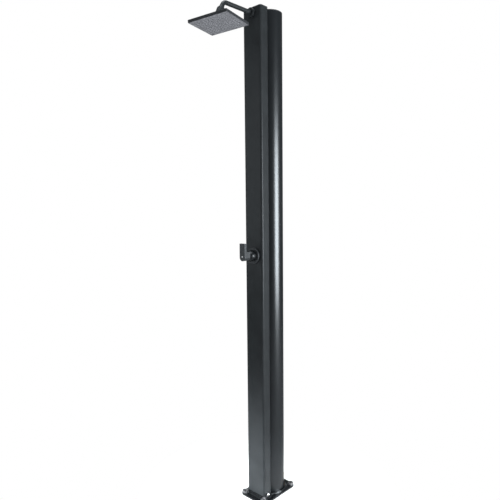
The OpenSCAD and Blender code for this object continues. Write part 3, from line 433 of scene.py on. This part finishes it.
def powder_coat(name, colour, rough=0.42, grain=0.25, speck=0.0, specular=0.5, vary=0.055):
    """Satin powder coat: orange-peel skin, faint mottle and fine metallic-looking specks."""
    material, t, shader, where = tree(name)
    broad = noise(t, where, scale=14, detail=3)
    fine = noise(t, where, scale=900, detail=2)
    peel = noise(t, where, scale=420, detail=3, rough=0.4)
    base = mixed(t, spread(t, broad, 0, 1), shaded(colour, 0.86), shaded(colour, 1.14))
    if speck:
        dots = spread(t, fine, 0, speck, from_low=0.66, from_high=0.74)
        base = mixed(t, dots, base, shaded(colour, 4, lift=0.05))
    t.links.new(base, shader.inputs["Base Color"])
    patches = noise(t, where, scale=60)
    t.links.new(spread(t, patches, rough - vary, rough + vary), shader.inputs["Roughness"])
    shader.inputs["Specular IOR Level"].default_value = specular
    shader.inputs["Specular Tint"].default_value = SHEEN
    skin = arithmetic(t, "ADD", peel, arithmetic(t, "MULTIPLY", fine, 0.4))
    bump(t, shader, skin, strength=grain, distance=0.12)
    return material


def moulded(name, colour, rough=0.4, grain=0.2):
    """Moulded plastic: spark-eroded grain, slight flow marks."""
    material, t, shader, where = tree(name)
    flow = noise(t, scaled(t, where, (1, 1, 0.35)), scale=22, detail=3)
    pits = noise(t, where, scale=1100, detail=2, rough=0.6)
    base = mixed(t, spread(t, flow, 0, 1), shaded(colour, 0.92), shaded(colour, 1.07))
    t.links.new(base, shader.inputs["Base Color"])
    patches = noise(t, where, scale=80, detail=3)
    t.links.new(spread(t, patches, rough - 0.05, rough + 0.07), shader.inputs["Roughness"])
    bump(t, shader, pits, strength=grain, distance=0.06)
    return material


def metal(name, colour, rough=0.25, streak=(40, 40, 40), grain=0.1):
    """Turned, brushed or polished metal, with tool marks along one direction."""
    material, t, shader, where = tree(name)
    marks = noise(t, scaled(t, where, streak), scale=30, detail=5, rough=0.6)
    stain = noise(t, where, scale=35)
    base = mixed(t, spread(t, stain, 0, 1), shaded(colour, 0.82), colour)
    t.links.new(base, shader.inputs["Base Color"])
    shader.inputs["Metallic"].default_value = 1.0
    t.links.new(spread(t, marks, max(rough - 0.08, 0.04), rough + 0.1),
                shader.inputs["Roughness"])
    bump(t, shader, marks, strength=grain, distance=0.03)
    return material


def rubber(name, colour, rough=0.62):
    """Rubber or silicone: dull, with a pale bloom and a fine grit."""
    material, t, shader, where = tree(name)
    bloom = noise(t, where, scale=45)
    grit = noise(t, where, scale=1500, detail=2)
    base = mixed(t, spread(t, bloom, 0, 1), colour, shaded(colour, 1.35, lift=0.01))
    t.links.new(base, shader.inputs["Base Color"])
    t.links.new(spread(t, bloom, rough - 0.08, rough + 0.1), shader.inputs["Roughness"])
    bump(t, shader, grit, strength=0.25, distance=0.05)
    return material


def braid(name, dark, light):
    """Braided hose: two crossing sets of strands along the hose."""
    material, t, shader, where = tree(name)
    strands = []
    for way in (1, -1):
        wave = t.nodes.new("ShaderNodeTexWave")
        wave.wave_type = "BANDS"
        wave.bands_direction = "DIAGONAL"
        wave.inputs["Scale"].default_value = 220
        wave.inputs["Distortion"].default_value = 0.4
        t.links.new(scaled(t, where, (way, 1, 1)), wave.inputs["Vector"])
        strands.append(wave.outputs["Fac"])
    weave = arithmetic(t, "MAXIMUM", *strands)
    t.links.new(mixed(t, weave, dark, light), shader.inputs["Base Color"])
    t.links.new(spread(t, weave, 0.6, 0.35, from_low=0, from_high=1),
                shader.inputs["Roughness"])
    bump(t, shader, weave, strength=0.6, distance=0.3)
    return material


def paint_boss_highlights(material, pale):
    """Paints a highlight onto the foot's four bosses: their raised tops turn from the coat to a
    mottled pale grey, a painted highlight in place of their shine.
    """
    t = material.node_tree
    shader = next(n for n in t.nodes if n.type == "BSDF_PRINCIPLED")
    coat = shader.inputs["Base Color"].links[0].from_socket
    where = next(n for n in t.nodes if n.type == "TEX_COORD").outputs["Object"]
    axes = t.nodes.new("ShaderNodeSeparateXYZ")
    t.links.new(where, axes.inputs[0])
    squares = []
    for axis, reach in ((0, ANCHOR_X), (1, ANCHOR_Y)):
        side = arithmetic(t, "ABSOLUTE", axes.outputs[axis])
        off = arithmetic(t, "SUBTRACT", side, reach * MM)
        squares.append(arithmetic(t, "MULTIPLY", off, off))
    away = arithmetic(t, "SQRT", arithmetic(t, "ADD", *squares))
    near = spread(t, away, 1, 0, (BOSS_R - 1) * MM, (BOSS_R + 1) * MM)
    raised = spread(t, axes.outputs[2], 0, 1, (FOOT_T + 1) * MM, (FOOT_T + 4) * MM)
    mottle = spread(t, noise(t, where, scale=160, detail=3), 0.2, 1)
    # Painted highlight: the raised tops of the bosses turn pale grey, mottled, in place of the
    # shine on their rounded tops
    painted_highlight = arithmetic(t, "MULTIPLY", arithmetic(t, "MULTIPLY", near, raised), mottle)
    t.links.new(mixed(t, painted_highlight, coat, pale), shader.inputs["Base Color"])


ANTHRACITE = (0.0184, 0.0206, 0.0222)
TANK_DARK = (0.0044, 0.0054, 0.0064)
FOOT_BLACK = (0.0036, 0.0041, 0.0046)
# Pale grey of the painted highlight on the foot's bosses
BOSS_HIGHLIGHT_GREY = (0.135, 0.133, 0.137)
mats = {
    "anthracite_paint": powder_coat("powder_coat", ANTHRACITE, rough=0.35, grain=0.2,
                                    speck=0.5, specular=0.26),
    "foot_paint": powder_coat("powder_coat_cast", FOOT_BLACK, rough=0.24, grain=0.2,
                              speck=0.05, specular=0.85),
    "anthracite_tank": powder_coat("tank_satin", TANK_DARK, rough=0.28, grain=0.0,
                                   specular=0.8, vary=0.006),
    "lever_coat": powder_coat("lever_coat", (0.030, 0.032, 0.035), rough=0.4, grain=0.04,
                              speck=0.3, specular=0.5),
    "sleeve_coat": powder_coat("sleeve_coat", TANK_DARK, rough=0.36, grain=0.03,
                               specular=0.42, vary=0.02),
    "anthracite_plastic": moulded("anthracite_plastic", (0.027, 0.029, 0.033), rough=0.45),
    "head_grey": moulded("head_grey", (0.185, 0.185, 0.20), rough=0.42),
    "nozzle_rubber": rubber("nozzle_silicone", (0.075, 0.075, 0.083), rough=0.5),
    "black_plastic": moulded("black_plastic", (0.018, 0.018, 0.02), rough=0.5),
    "white_plastic": moulded("white_plastic", (0.72, 0.72, 0.69), rough=0.42),
    "steel": metal("stainless", (0.58, 0.58, 0.59), rough=0.3, streak=(4, 4, 60)),
    "bright_metal": metal("polished_metal", (0.80, 0.81, 0.83), rough=0.12, grain=0.04),
    "brass": metal("turned_brass", (0.66, 0.49, 0.24), rough=0.26, streak=(8, 8, 60)),
    "seal_rubber": rubber("seal_rubber", (0.016, 0.016, 0.017)),
    "ceramic": moulded("lapped_ceramic", (0.82, 0.81, 0.77), rough=0.16, grain=0.05),
    "hose": braid("braided_hose", dark=(0.10, 0.10, 0.11), light=(0.42, 0.43, 0.45)),
}
# The foot's bosses get a painted highlight in pale grey
paint_boss_highlights(mats["foot_paint"], BOSS_HIGHLIGHT_GREY)
slot_of = {s["node"]: s["material_slot"] for s in frame["record"]["subparts"]}


def dress(obj, slot, body, *replaced, material=None):
    """Gives a piece its material, taken from its slot unless another is named, puts it under its
    body and hides the CAD nodes that it stands for.
    """
    obj.data.materials.clear()
    obj.data.materials.append(mats[material or slot])
    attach(obj, body)
    if replaced:
        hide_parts(*replaced)
    return obj


# Every CAD node starts with the material of its own slot
for name, obj in nodes.items():
    obj.data.materials.clear()
    obj.data.materials.append(mats[slot_of[name]])


# Camera and light

# Solved from the photograph: turns in radians, place in metres, lens in millimetres
CAMERA_YAW = 0.763942
CAMERA_PITCH = 0.092762
CAMERA_ROLL = -0.0101916
CAMERA_LENS = 35.14
CAMERA_SENSOR = 36
CAMERA_AT = (1.4955, -1.6707, 1.3712)


def photo_camera():
    """The camera at the photograph's place and angle."""
    forward = Vector((-math.sin(CAMERA_YAW) * math.cos(CAMERA_PITCH),
                      math.cos(CAMERA_YAW) * math.cos(CAMERA_PITCH),
                      -math.sin(CAMERA_PITCH)))
    level = Vector((math.cos(CAMERA_YAW), math.sin(CAMERA_YAW), 0))
    upright = level.cross(forward)
    right = level * math.cos(CAMERA_ROLL) + upright * math.sin(CAMERA_ROLL)
    up = upright * math.cos(CAMERA_ROLL) - level * math.sin(CAMERA_ROLL)
    data = bpy.data.cameras.new("camera")
    data.lens = CAMERA_LENS
    data.sensor_width = CAMERA_SENSOR
    data.clip_end = 100
    camera = bpy.data.objects.new("camera", data)
    camera.matrix_world = Matrix((
        (right.x, up.x, -forward.x, CAMERA_AT[0]),
        (right.y, up.y, -forward.y, CAMERA_AT[1]),
        (right.z, up.z, -forward.z, CAMERA_AT[2]),
        (0, 0, 0, 1),
    ))
    bpy.context.scene.collection.objects.link(camera)
    return camera


bpy.context.scene.camera = photo_camera()
bpy.context.scene.view_settings.view_transform = "Standard"
LAMP_COLOUR = (0.96, 0.985, 1)


def lamp(name, place, target, size, power, size_y=None, glossy=True, beam=180):
    """A soft rectangular lamp; glossy=False keeps its mirror image off the coats."""
    data = bpy.data.lights.new(name, "AREA")
    data.shape = "RECTANGLE"
    data.size = size
    data.size_y = size_y or size
    data.energy = power
    data.color = LAMP_COLOUR
    data.spread = math.radians(beam)
    obj = bpy.data.objects.new(name, data)
    obj.location = place
    obj.rotation_euler = (Vector(target) - Vector(place)).to_track_quat("-Z", "Y").to_euler()
    obj.visible_glossy = glossy
    bpy.context.scene.collection.objects.link(obj)


# Places and sizes in metres, power in watts
lamp("key", (2.87, 0.72, 1.22), (0, 0.03, 1.22), size=1.7, power=134, size_y=1.6)
lamp("fill", (-2.4, -2.6, 1.7), (0, 0, 1.2), size=2.4, power=17)
lamp("low_left", (-0.75, -0.95, 0.3), (0, -0.1, 0), size=0.6, power=9, size_y=0.24,
     glossy=False, beam=60)
lamp("low_right", (1.1, 0.1, 0.4), (0, 0, 0), size=0.5, power=1.5, size_y=0.2, beam=40)
lamp("top", (0.2, -0.4, 4.6), (0, 0, 0), size=2.4, power=92)

WHITE = (1, 1, 1, 1)
STUDIO_TONE = (0.88, 0.95, 1, 1)
STUDIO_LIGHT, STUDIO_LESS_IN_GLOSS = 0.36, 0.2


def studio_world():
    """White behind the object for the camera, a dim cool studio for everything else."""
    world = bpy.data.worlds.new("studio")
    world.use_nodes = True
    t = world.node_tree
    t.nodes.clear()
    out = t.nodes.new("ShaderNodeOutputWorld")
    backdrop = t.nodes.new("ShaderNodeBackground")
    light = t.nodes.new("ShaderNodeBackground")
    pick = t.nodes.new("ShaderNodeMixShader")
    path = t.nodes.new("ShaderNodeLightPath")
    backdrop.inputs["Color"].default_value = WHITE
    backdrop.inputs["Strength"].default_value = 1.0
    light.inputs["Color"].default_value = STUDIO_TONE
    less = arithmetic(t, "MULTIPLY", -STUDIO_LESS_IN_GLOSS, path.outputs["Is Glossy Ray"])
    t.links.new(arithmetic(t, "ADD", STUDIO_LIGHT, less), light.inputs["Strength"])
    t.links.new(path.outputs["Is Camera Ray"], pick.inputs[0])
    t.links.new(light.outputs[0], pick.inputs[1])
    t.links.new(backdrop.outputs[0], pick.inputs[2])
    t.links.new(pick.outputs[0], out.inputs[0])
    return world


bpy.context.scene.world = studio_world()

# The floor, in metres: for the camera it fades to white between WHITE_FROM and WHITE_AT, for
# glossy rays it glows near the foot
FLOOR_REACH = 14
WHITE_FROM, WHITE_AT = 0.16, 0.62
GLOW_AT_FOOT, GLOW_FROM, GLOW_END = 0.7, 0.15, 0.5
FLOOR_PALE, FLOOR_IN_GLOSS = (0.93, 0.93, 0.93), (0.22, 0.22, 0.22)


def floor_coat():
    """Pale and matt, with the object's shadow near the foot, running out into white."""
    material = bpy.data.materials.new("floor")
    material.use_nodes = True
    t = material.node_tree
    t.nodes.clear()
    out = t.nodes.new("ShaderNodeOutputMaterial")
    matt = t.nodes.new("ShaderNodeBsdfDiffuse")
    glow = t.nodes.new("ShaderNodeEmission")
    pick = t.nodes.new("ShaderNodeMixShader")
    path = t.nodes.new("ShaderNodeLightPath")
    where = t.nodes.new("ShaderNodeTexCoord")
    away = t.nodes.new("ShaderNodeVectorMath")
    away.operation = "LENGTH"
    t.links.new(where.outputs["Object"], away.inputs[0])
    far = spread(t, away.outputs["Value"], 0, 1, WHITE_FROM, WHITE_AT)
    near = spread(t, away.outputs["Value"], GLOW_AT_FOOT, 0, GLOW_FROM, GLOW_END)
    seen = arithmetic(
        t, "ADD",
        arithmetic(t, "MULTIPLY", far, path.outputs["Is Camera Ray"]),
        arithmetic(t, "MULTIPLY", near, path.outputs["Is Glossy Ray"]))
    tone = mixed(t, path.outputs["Is Glossy Ray"], FLOOR_PALE, FLOOR_IN_GLOSS)
    t.links.new(tone, matt.inputs["Color"])
    glow.inputs["Color"].default_value = WHITE
    t.links.new(seen, pick.inputs[0])
    t.links.new(matt.outputs[0], pick.inputs[1])
    t.links.new(glow.outputs[0], pick.inputs[2])
    t.links.new(pick.outputs[0], out.inputs[0])
    return material


floor_mesh = bpy.data.meshes.new("floor")
floor_mesh.from_pydata(
    [(-FLOOR_REACH, -FLOOR_REACH, 0), (FLOOR_REACH, -FLOOR_REACH, 0),
     (FLOOR_REACH, FLOOR_REACH, 0), (-FLOOR_REACH, FLOOR_REACH, 0)],
    [], [(0, 1, 2, 3)])
floor = bpy.data.objects.new("floor", floor_mesh)
bpy.context.scene.collection.objects.link(floor)
floor_mesh.materials.append(floor_coat())


# Columns

front_outline = rounded_rect(FRONT_W, FRONT_D, FRONT_R)
column = stack(
    "front_column_skin",
    [
        (front_outline, FOOT_T),
        (front_outline, COVER_Z - 0.15),
        (inset(front_outline, 0.3), COVER_Z),
        (inset(front_outline, FRONT_WALL), COVER_Z),
        (inset(front_outline, FRONT_WALL), FOOT_T),
    ],
    shift(0, FRONT_MID_Y, 0), caps=False)
cut(column,
    block("window", *WINDOW),
    rod("mixer_hole", VALVE_HOLE_R, CUT_IN, CUT_OUT, AT_MIXER),
    rod("arm_hole", ARM_HOLE_R, CUT_IN, CUT_OUT, AT_ARM))
dress(column, "anthracite_paint", "post", "front_column")

tank = lathe(
    "tank_skin",
    [(TANK_R, FOOT_T, 0), (TANK_R, COVER_Z, 0.3),
     (TANK_R - TANK_WALL, COVER_Z, 0), (TANK_R - TANK_WALL, FOOT_T, 0)],
    shift(0, TANK_Y, 0), around=180, steps=2)
cut(tank,
    block("window", *WINDOW),
    rod("inlet_hole", INLET_HOLE_R, CUT_IN - 2, CUT_OUT, AT_INLET))
dress(tank, "anthracite_tank", "post", "tank_tube")

front_cap = soft_prism(
    "front_cap_skin", front_outline,
    COVER_Z + COVER_SEAM, HEIGHT, 1.0, shift(0, FRONT_MID_Y, 0))
lip_less = 2 * FRONT_WALL + LIP_PLAY
lip_outline = rounded_rect(FRONT_W - lip_less, FRONT_D - lip_less, LIP_R)
front_lip = stack(
    "front_cap_lip",
    [(lip_outline, COVER_Z - LIP_DEPTH), (lip_outline, COVER_Z + 0.3)],
    shift(0, FRONT_MID_Y, 0))
dress(front_lip, "anthracite_plastic", "post")
dress(front_cap, "anthracite_plastic", "post", "front_cap")

tank_cover = lathe(
    "tank_cover_skin",
    [(0, COVER_Z + COVER_SEAM, 0), (TANK_R, COVER_Z + COVER_SEAM, 0.3),
     (TANK_R, HEIGHT, 1.2), (0, HEIGHT, 0)],
    shift(0, TANK_Y, 0), around=180)
dress(tank_cover, "anthracite_plastic", "post", "tank_cover")

# The saddles fill the wedge between the flat back of one tube and the round of the other
SADDLE_STEPS = 24
curve = []
for k in range(SADDLE_STEPS + 1):
    x = SADDLE_HALF_W - 2 * SADDLE_HALF_W * k / SADDLE_STEPS
    curve.append((x, TANK_Y - math.sqrt(TANK_R ** 2 - x ** 2) - HAIR))
saddle_outline = [(-SADDLE_HALF_W, FRONT_BACK_Y + HAIR), (SADDLE_HALF_W, FRONT_BACK_Y + HAIR)]
saddle_outline += curve
for place, z in SADDLE_Z:
    saddle = stack(
        "column_saddle_" + place,
        [(saddle_outline, z - SADDLE_HALF_H), (saddle_outline, z + SADDLE_HALF_H)], None)
    replaced = ["column_saddles"] if place == "low" else []
    dress(saddle, "black_plastic", "post", *replaced)


# Mixer and lever

# Puts an outline into the plane of a piece's own Y and Z, drawn out along its X
ACROSS = Matrix(((0, 0, 1, 0), (1, 0, 0, 0), (0, 1, 0, 0), (0, 0, 0, 1)))


def arc(radius, start, end, height=0, steps=16):
    """Outline points for lathe() on a ball with its middle at a height, between two angles."""
    out = []
    for k in range(steps + 1):
        a = math.radians(start + (end - start) * k / steps)
        out.append((radius * math.cos(a), height + radius * math.sin(a), 0))
    return out


escutcheon = lathe(
    "escutcheon_skin",
    [(PLATE_FLOOR_R, 0, 0), (PLATE_R, 0, 0.2), (PLATE_R, PLATE_T, 1.8),
     (PLATE_BORE_R, PLATE_T, 0.6), (PLATE_BORE_R, PLATE_FLOOR_T, 0.3),
     (PLATE_FLOOR_R, PLATE_FLOOR_T, 0.3)],
    AT_MIXER, around=128)
dress(escutcheon, "anthracite_paint", "post", "escutcheon", material="lever_coat")

sleeve = lathe(
    "domed_sleeve_skin",
    [(SLEEVE_BORE_R, SLEEVE_LOW, 0), (SLEEVE_R, SLEEVE_LOW, 0.5), (SLEEVE_R, DOME_Z, 0)]
    + arc(SLEEVE_R, 2, 90, DOME_Z, 30) + arc(SLEEVE_BORE_R, 90, 2, DOME_Z, 30)
    + [(SLEEVE_BORE_R, DOME_Z, 0)],
    AT_MIXER, around=128)
# The slot in the dome, through which the lever's neck comes out
neck_outline = [(NECK_HALF, 28), (NECK_HALF, 52), (-19.3, 46.3), (-9.2, 24.5)]
slot_cutter = stack(
    "slot_cutter",
    [(neck_outline, -NECK_HALF), (neck_outline, NECK_HALF)],
    AT_MIXER @ ACROSS)
cut(sleeve, slot_cutter)
dress(sleeve, slot_of["domed_sleeve"], "turning_carrier", "domed_sleeve", material="sleeve_coat")


# Cast and moulded pieces: the node's own solid, with soft edges worked into it

def cast_copy(name, node, voxel, passes):
    """The node's solid with its edges rounded off: voxels in millimetres, smoothing passes."""
    obj = bpy.data.objects.new(name, nodes[node].data.copy())
    bpy.context.scene.collection.objects.link(obj)
    weld(obj)
    remesh = obj.modifiers.new("remesh", "REMESH")
    remesh.mode = "VOXEL"
    remesh.voxel_size = voxel * MM
    smooth = obj.modifiers.new("smooth", "SMOOTH")
    smooth.factor = 0.5
    smooth.iterations = passes
    apply_modifiers(obj)
    return finish_mesh(obj, 60, weighted=False)


foot = cast_copy("foot_casting_skin", "foot_casting", voxel=1.1, passes=5)
for v in foot.data.vertices:
    v.co.z = max(v.co.z, 0.0)  # the underside stays on the floor
dress(foot, "anthracite_paint", "post", "foot_casting", material="foot_paint")

lever = cast_copy("lever_skin", "lever", voxel=0.45, passes=6)
dress(lever, slot_of["lever"], "lever", "lever", material="lever_coat")

cap = lathe(
    "lever_cap_skin",
    [(0, CAP_LOW, 0), (CAP_R, CAP_LOW, 0), (CAP_R, CAP_RIM, 0.5), (0, CAP_TOP, 0)],
    AT_MIXER, around=48)
dress(cap, slot_of["lever_cap"], "lever", "lever_cap")


# Arm

flange = lathe(
    "arm_flange_skin",
    [(ARM_SNUG_R, FLANGE_T, 0.3), (FLANGE_R, FLANGE_T, 2.2), (FLANGE_R, 0, 0),
     (FLANGE_INNER_R, 0, 0), (FLANGE_INNER_R, FLANGE_ROOF, 1), (ARM_SNUG_R, FLANGE_ROOF, 0)],
    AT_ARM, around=96)
dress(flange, slot_of["arm_flange"], "post", "arm_flange")


def swept(name, rings, place, around=64):
    """A round bar through rings (y, z, slope in degrees, radius) in the plane x = 0."""
    layers = []
    for y, z, slope, radius in rings:
        a = math.radians(slope)
        ring = []
        for k in range(around):
            t = 2 * math.pi * k / around
            x, u = radius * math.cos(t), radius * math.sin(t)
            ring.append((x, y + u * math.sin(a), z + u * math.cos(a)))
        layers.append(ring)
    points = [p for ring in layers for p in ring]
    faces = [
        (i * around + k, i * around + (k + 1) % around,
         (i + 1) * around + (k + 1) % around, (i + 1) * around + k)
        for i in range(len(layers) - 1) for k in range(around)
    ]
    faces.append(tuple(range(around - 1, -1, -1)))
    faces.append(tuple(range(len(points) - around, len(points))))
    return make(name, points, faces, place)


BEND_STEPS = 24
bend_y = FRONT_Y - ARM_REACH
rings = [(y, ARM_Z, 0, ARM_R) for y in (FRONT_Y + 11, FRONT_Y - 40, bend_y)]
for k in range(1, BEND_STEPS + 1):
    slope = BEND_ANGLE * k / BEND_STEPS
    rings.append((bend_y - BEND_R * math.sin(math.radians(slope)),
                  ARM_Z - BEND_R * (1 - math.cos(math.radians(slope))), -slope, ARM_R))
tip_y, tip_z = rings[-1][:2]
tip = math.radians(TIP_SLOPE)
for along, radius in ((0.6, ARM_R), (1.2, FERRULE_R), (14, FERRULE_R), (33.2, FERRULE_R)):
    rings.append((tip_y - along * math.sin(tip), tip_z - along * math.cos(tip),
                  -BEND_ANGLE, radius))
arm = swept("arm_tube_skin", rings, None)
dress(arm, slot_of["arm_tube"], "post", "arm_tube")


def fluted(radius, flutes, depth, around=288):
    """A round outline with narrow rounded flutes."""
    out = []
    for k in range(around):
        a = 2 * math.pi * k / around
        part = (a * flutes / (2 * math.pi)) % 1
        near = min(part, 1 - part) * 2 * math.pi * radius / flutes
        r = radius - depth * math.sqrt(max(0, 1 - (near / FLUTE_HALF_W) ** 2))
        out.append((r * math.cos(a), r * math.sin(a)))
    return out


def fluted_stack(name, layers, flutes, place):
    """A fluted ring through (radius, flute depth, height) layers; the last joins the first."""
    return stack(name, [(fluted(r, flutes, depth), z) for r, depth, z in layers],
                 place, caps=False)


swivel_nut = fluted_stack(
    "swivel_nut_skin",
    [(15.8, 0, 16), (16.6, 0.3, 16.3), (NUT_R, FLUTE, 17.2), (NUT_R, FLUTE, 34.8),
     (16.6, 0.3, 35.7), (15.8, 0, 36), (13.4, 0, 36.1), (NUT_NECK_R, 0, 36.5),
     (NUT_NECK_R, 0, 43.2), (12.3, 0, 44), (9.55, 0, 44), (9.55, 0, 22),
     (8.86, 0, 22), (8.86, 0, 19), (5.56, 0, 19), (5.56, 0, 16)],
    18, AT_TIP)
dress(swivel_nut, slot_of["swivel_nut"], "post", "swivel_nut")

stem = lathe(
    "ball_stem_skin",
    [(BALL_BORE_R, -11.6, 0)] + arc(BALL_R, -75, 62.5, 0, 40)
    + [(STEM_R, 10.8, 0), (STEM_R, 19, 0), (STEM_FOOT_R, 19, 0),
       (STEM_FOOT_R, 20.6, 0.3), (BALL_BORE_R, 20.6, 0)],
    AT_TIP, around=96)
dress(stem, slot_of["ball_stem"], "ball_stem", "ball_stem")

ring = fluted_stack(
    "ball_ring_skin",
    [(15.9, 0, -15), (16.6, 0.3, -14.7), (NUT_R, FLUTE, -14), (NUT_R, FLUTE, 2.2),
     (16.5, 0.3, 3.3), (15.4, 0, 4.1), (11.5, 0, 4.1), (11.98, 0, 1.6),
     (12.05, 0, -0.9), (15.05, 0, -0.9), (15.05, 0, -15)],
    24, AT_HEAD)
dress(ring, slot_of["ball_ring"], "head", "ball_ring")


# Head

def joined(obj, *others):
    """Takes the meshes of the others into obj."""
    bm = bmesh.new()
    bm.from_mesh(obj.data)
    for other in others:
        bm.from_mesh(other.data)
        bpy.data.objects.remove(other)
    bm.to_mesh(obj.data)
    bm.free()
    return finish_mesh(obj, weighted=False)


outer = rounded_rect(HEAD_SIZE, HEAD_SIZE, HEAD_R)
inner = rounded_rect(HEAD_SIZE - 2 * HEAD_WALL, HEAD_SIZE - 2 * HEAD_WALL, HEAD_INNER_R)
LOW_EDGE, LOW_STEPS = 0.5, 4
TOP_EDGE, TOP_STEPS = 2, 6
shell_layers = [(inner, HEAD_TOP - HEAD_WALL), (inner, HEAD_BOTTOM + 0.3),
                (inset(inner, -0.3), HEAD_BOTTOM), (inset(outer, LOW_EDGE), HEAD_BOTTOM)]
for k in range(LOW_STEPS + 1):
    a = math.pi / 2 / LOW_STEPS * k
    shell_layers.append((inset(outer, LOW_EDGE * (1 - math.sin(a))),
                         HEAD_BOTTOM + LOW_EDGE * (1 - math.cos(a))))
for k in range(TOP_STEPS + 1):
    a = math.pi / 2 / TOP_STEPS * k
    shell_layers.append((inset(outer, TOP_EDGE * (1 - math.cos(a))),
                         HEAD_TOP - TOP_EDGE * (1 - math.sin(a))))
shell = stack("head_shell_skin", shell_layers, AT_HEAD)
hub = lathe(
    "head_hub",
    [(6, HEAD_TOP - 1, 0), (18, HEAD_TOP - 1, 0), (17.4, HEAD_TOP + 0.4, 0.6),
     (HUB_R, HEAD_TOP + 1.4, 0.8), (HUB_R, -1, 0.5), (HUB_BORE_R, -1, 0.3),
     (HUB_BORE_R, HUB_FLOOR, 0), (6, HUB_FLOOR, 0)],
    AT_HEAD, around=96)
joined(shell, hub)
dress(shell, slot_of["head_shell"], "head", "head_shell")

# Nozzle, as (radius, height) from its root over its tip into the bore
NOZZLE = [(1.6, -26.2), (1.6, -28.2), (1.5, -29.4), (1.36, -30.15), (1.2, -30.42),
          (0.95, -30.5), (0.66, -30.42), (0.5, -30.2), (0.46, -28.6)]
NOZZLE_SIDES = 20


def nozzle_grid():
    """Points and faces of all nozzles, row by row."""
    points, faces = [], []
    first_row = -NOZZLE_PITCH * (NOZZLE_ROWS - 1) / 2
    for row in range(NOZZLE_ROWS):
        for column_no in range(NOZZLE_ROWS):
            cx, cy = first_row + NOZZLE_PITCH * row, first_row + NOZZLE_PITCH * column_no
            first = len(points)
            for r, z in NOZZLE:
                for k in range(NOZZLE_SIDES):
                    a = 2 * math.pi * k / NOZZLE_SIDES
                    points.append((cx + r * math.cos(a), cy + r * math.sin(a), z))
            for i in range(len(NOZZLE) - 1):
                for k in range(NOZZLE_SIDES):
                    m = (k + 1) % NOZZLE_SIDES
                    a, b = first + i * NOZZLE_SIDES, first + (i + 1) * NOZZLE_SIDES
                    faces.append((a + k, a + m, b + m, b + k))
            last = first + (len(NOZZLE) - 1) * NOZZLE_SIDES
            faces.append(tuple(last + k for k in range(NOZZLE_SIDES)))
            faces.append(tuple(first + k for k in range(NOZZLE_SIDES - 1, -1, -1)))
    return points, faces


nozzles = make("nozzle_mat_skin", *nozzle_grid(), AT_HEAD, sharp=50, weighted=False)
sheet = soft_prism("mat_sheet", rounded_rect(MAT_W, MAT_W, HEAD_INNER_R), MAT_LOW, MAT_TOP, 0.3,
                   AT_HEAD)
joined(nozzles, sheet)
dress(nozzles, "nozzle_rubber", "head", "nozzle_mat")


# Side bolts with a domed head and a hexagon socket

for side, name in ((-1, "side_bolt_left"), (1, "side_bolt_right")):
    place = shift(0, FRONT_MID_Y - BOLT_FORWARD, BOLT_Z) @ turn(90 * side, "Y")
    bolt = lathe(
        name,
        [(0, BOLT_ROOT, 0), (BOLT_SHANK_R, BOLT_ROOT, 0.6), (BOLT_SHANK_R, BOLT_SEAT, 0),
         (9.6, BOLT_SEAT, 0.3), (BOLT_HEAD_R, BOLT_SEAT + 0.3, 0)]
        + arc(BOLT_DOME_R, BOLT_DOME_START, 90, BOLT_DOME_MID, 18), place, around=96)
    socket = circle(SOCKET_R, 6)
    cut(bolt, stack("socket", [(socket, SOCKET_FLOOR), (socket, SOCKET_TOP)], place))
    replaced = ["side_bolts"] if side < 0 else []
    dress(bolt, slot_of["side_bolts"], "post", *replaced)


# Inlet connector with its pipe thread

def threaded(height, around=96):
    """Outline of the thread at a height; it fades out towards both ends."""
    fade_in = (height - THREAD_LOW) / FADE_IN
    fade_out = (THREAD_HIGH - FADE_OUT - height) / FADE_OUT + FADE_LEFT
    fade = max(0.0, min(1.0, fade_in, fade_out))
    out = []
    for k in range(around):
        a = 2 * math.pi * k / around
        phase = (height / THREAD_PITCH - k / around) % 1
        ridge = 1 - abs(2 * phase - 1)
        ridge = min(1, max(0, (ridge - THREAD_FLAT) / (1 - 2 * THREAD_FLAT)))
        r = PIPE_R - THREAD_DEPTH * (1 - ridge * fade)
        out.append((r * math.cos(a), r * math.sin(a)))
    return out


THREAD_STEPS = 77
bore, nipple, body = circle(INLET_BORE_R), circle(NIPPLE_R), circle(PIPE_R - HAIR)
thread_layers = [(bore, 20.6), (bore, -24), (nipple, -24), (nipple, -10), (body, -10), (body, 2)]
for k in range(THREAD_STEPS + 1):
    z = THREAD_LOW + (THREAD_HIGH - THREAD_LOW) * k / THREAD_STEPS
    thread_layers.append((threaded(z), z))
thread_layers.append((circle(6.4), THREAD_HIGH))
spout = stack("inlet_thread_skin", thread_layers, AT_INLET, caps=False, sharp=50)
hexagon = filleted([(x, y, 0.8) for x, y in circle(HEX_ACROSS / math.sqrt(3), 6)], 4)
collar = soft_prism("inlet_hexagon", hexagon, HEX_LOW, THREAD_LOW, 0.7, AT_INLET)
joined(spout, collar)
dress(spout, slot_of["inlet_thread"], "post", "inlet_thread")
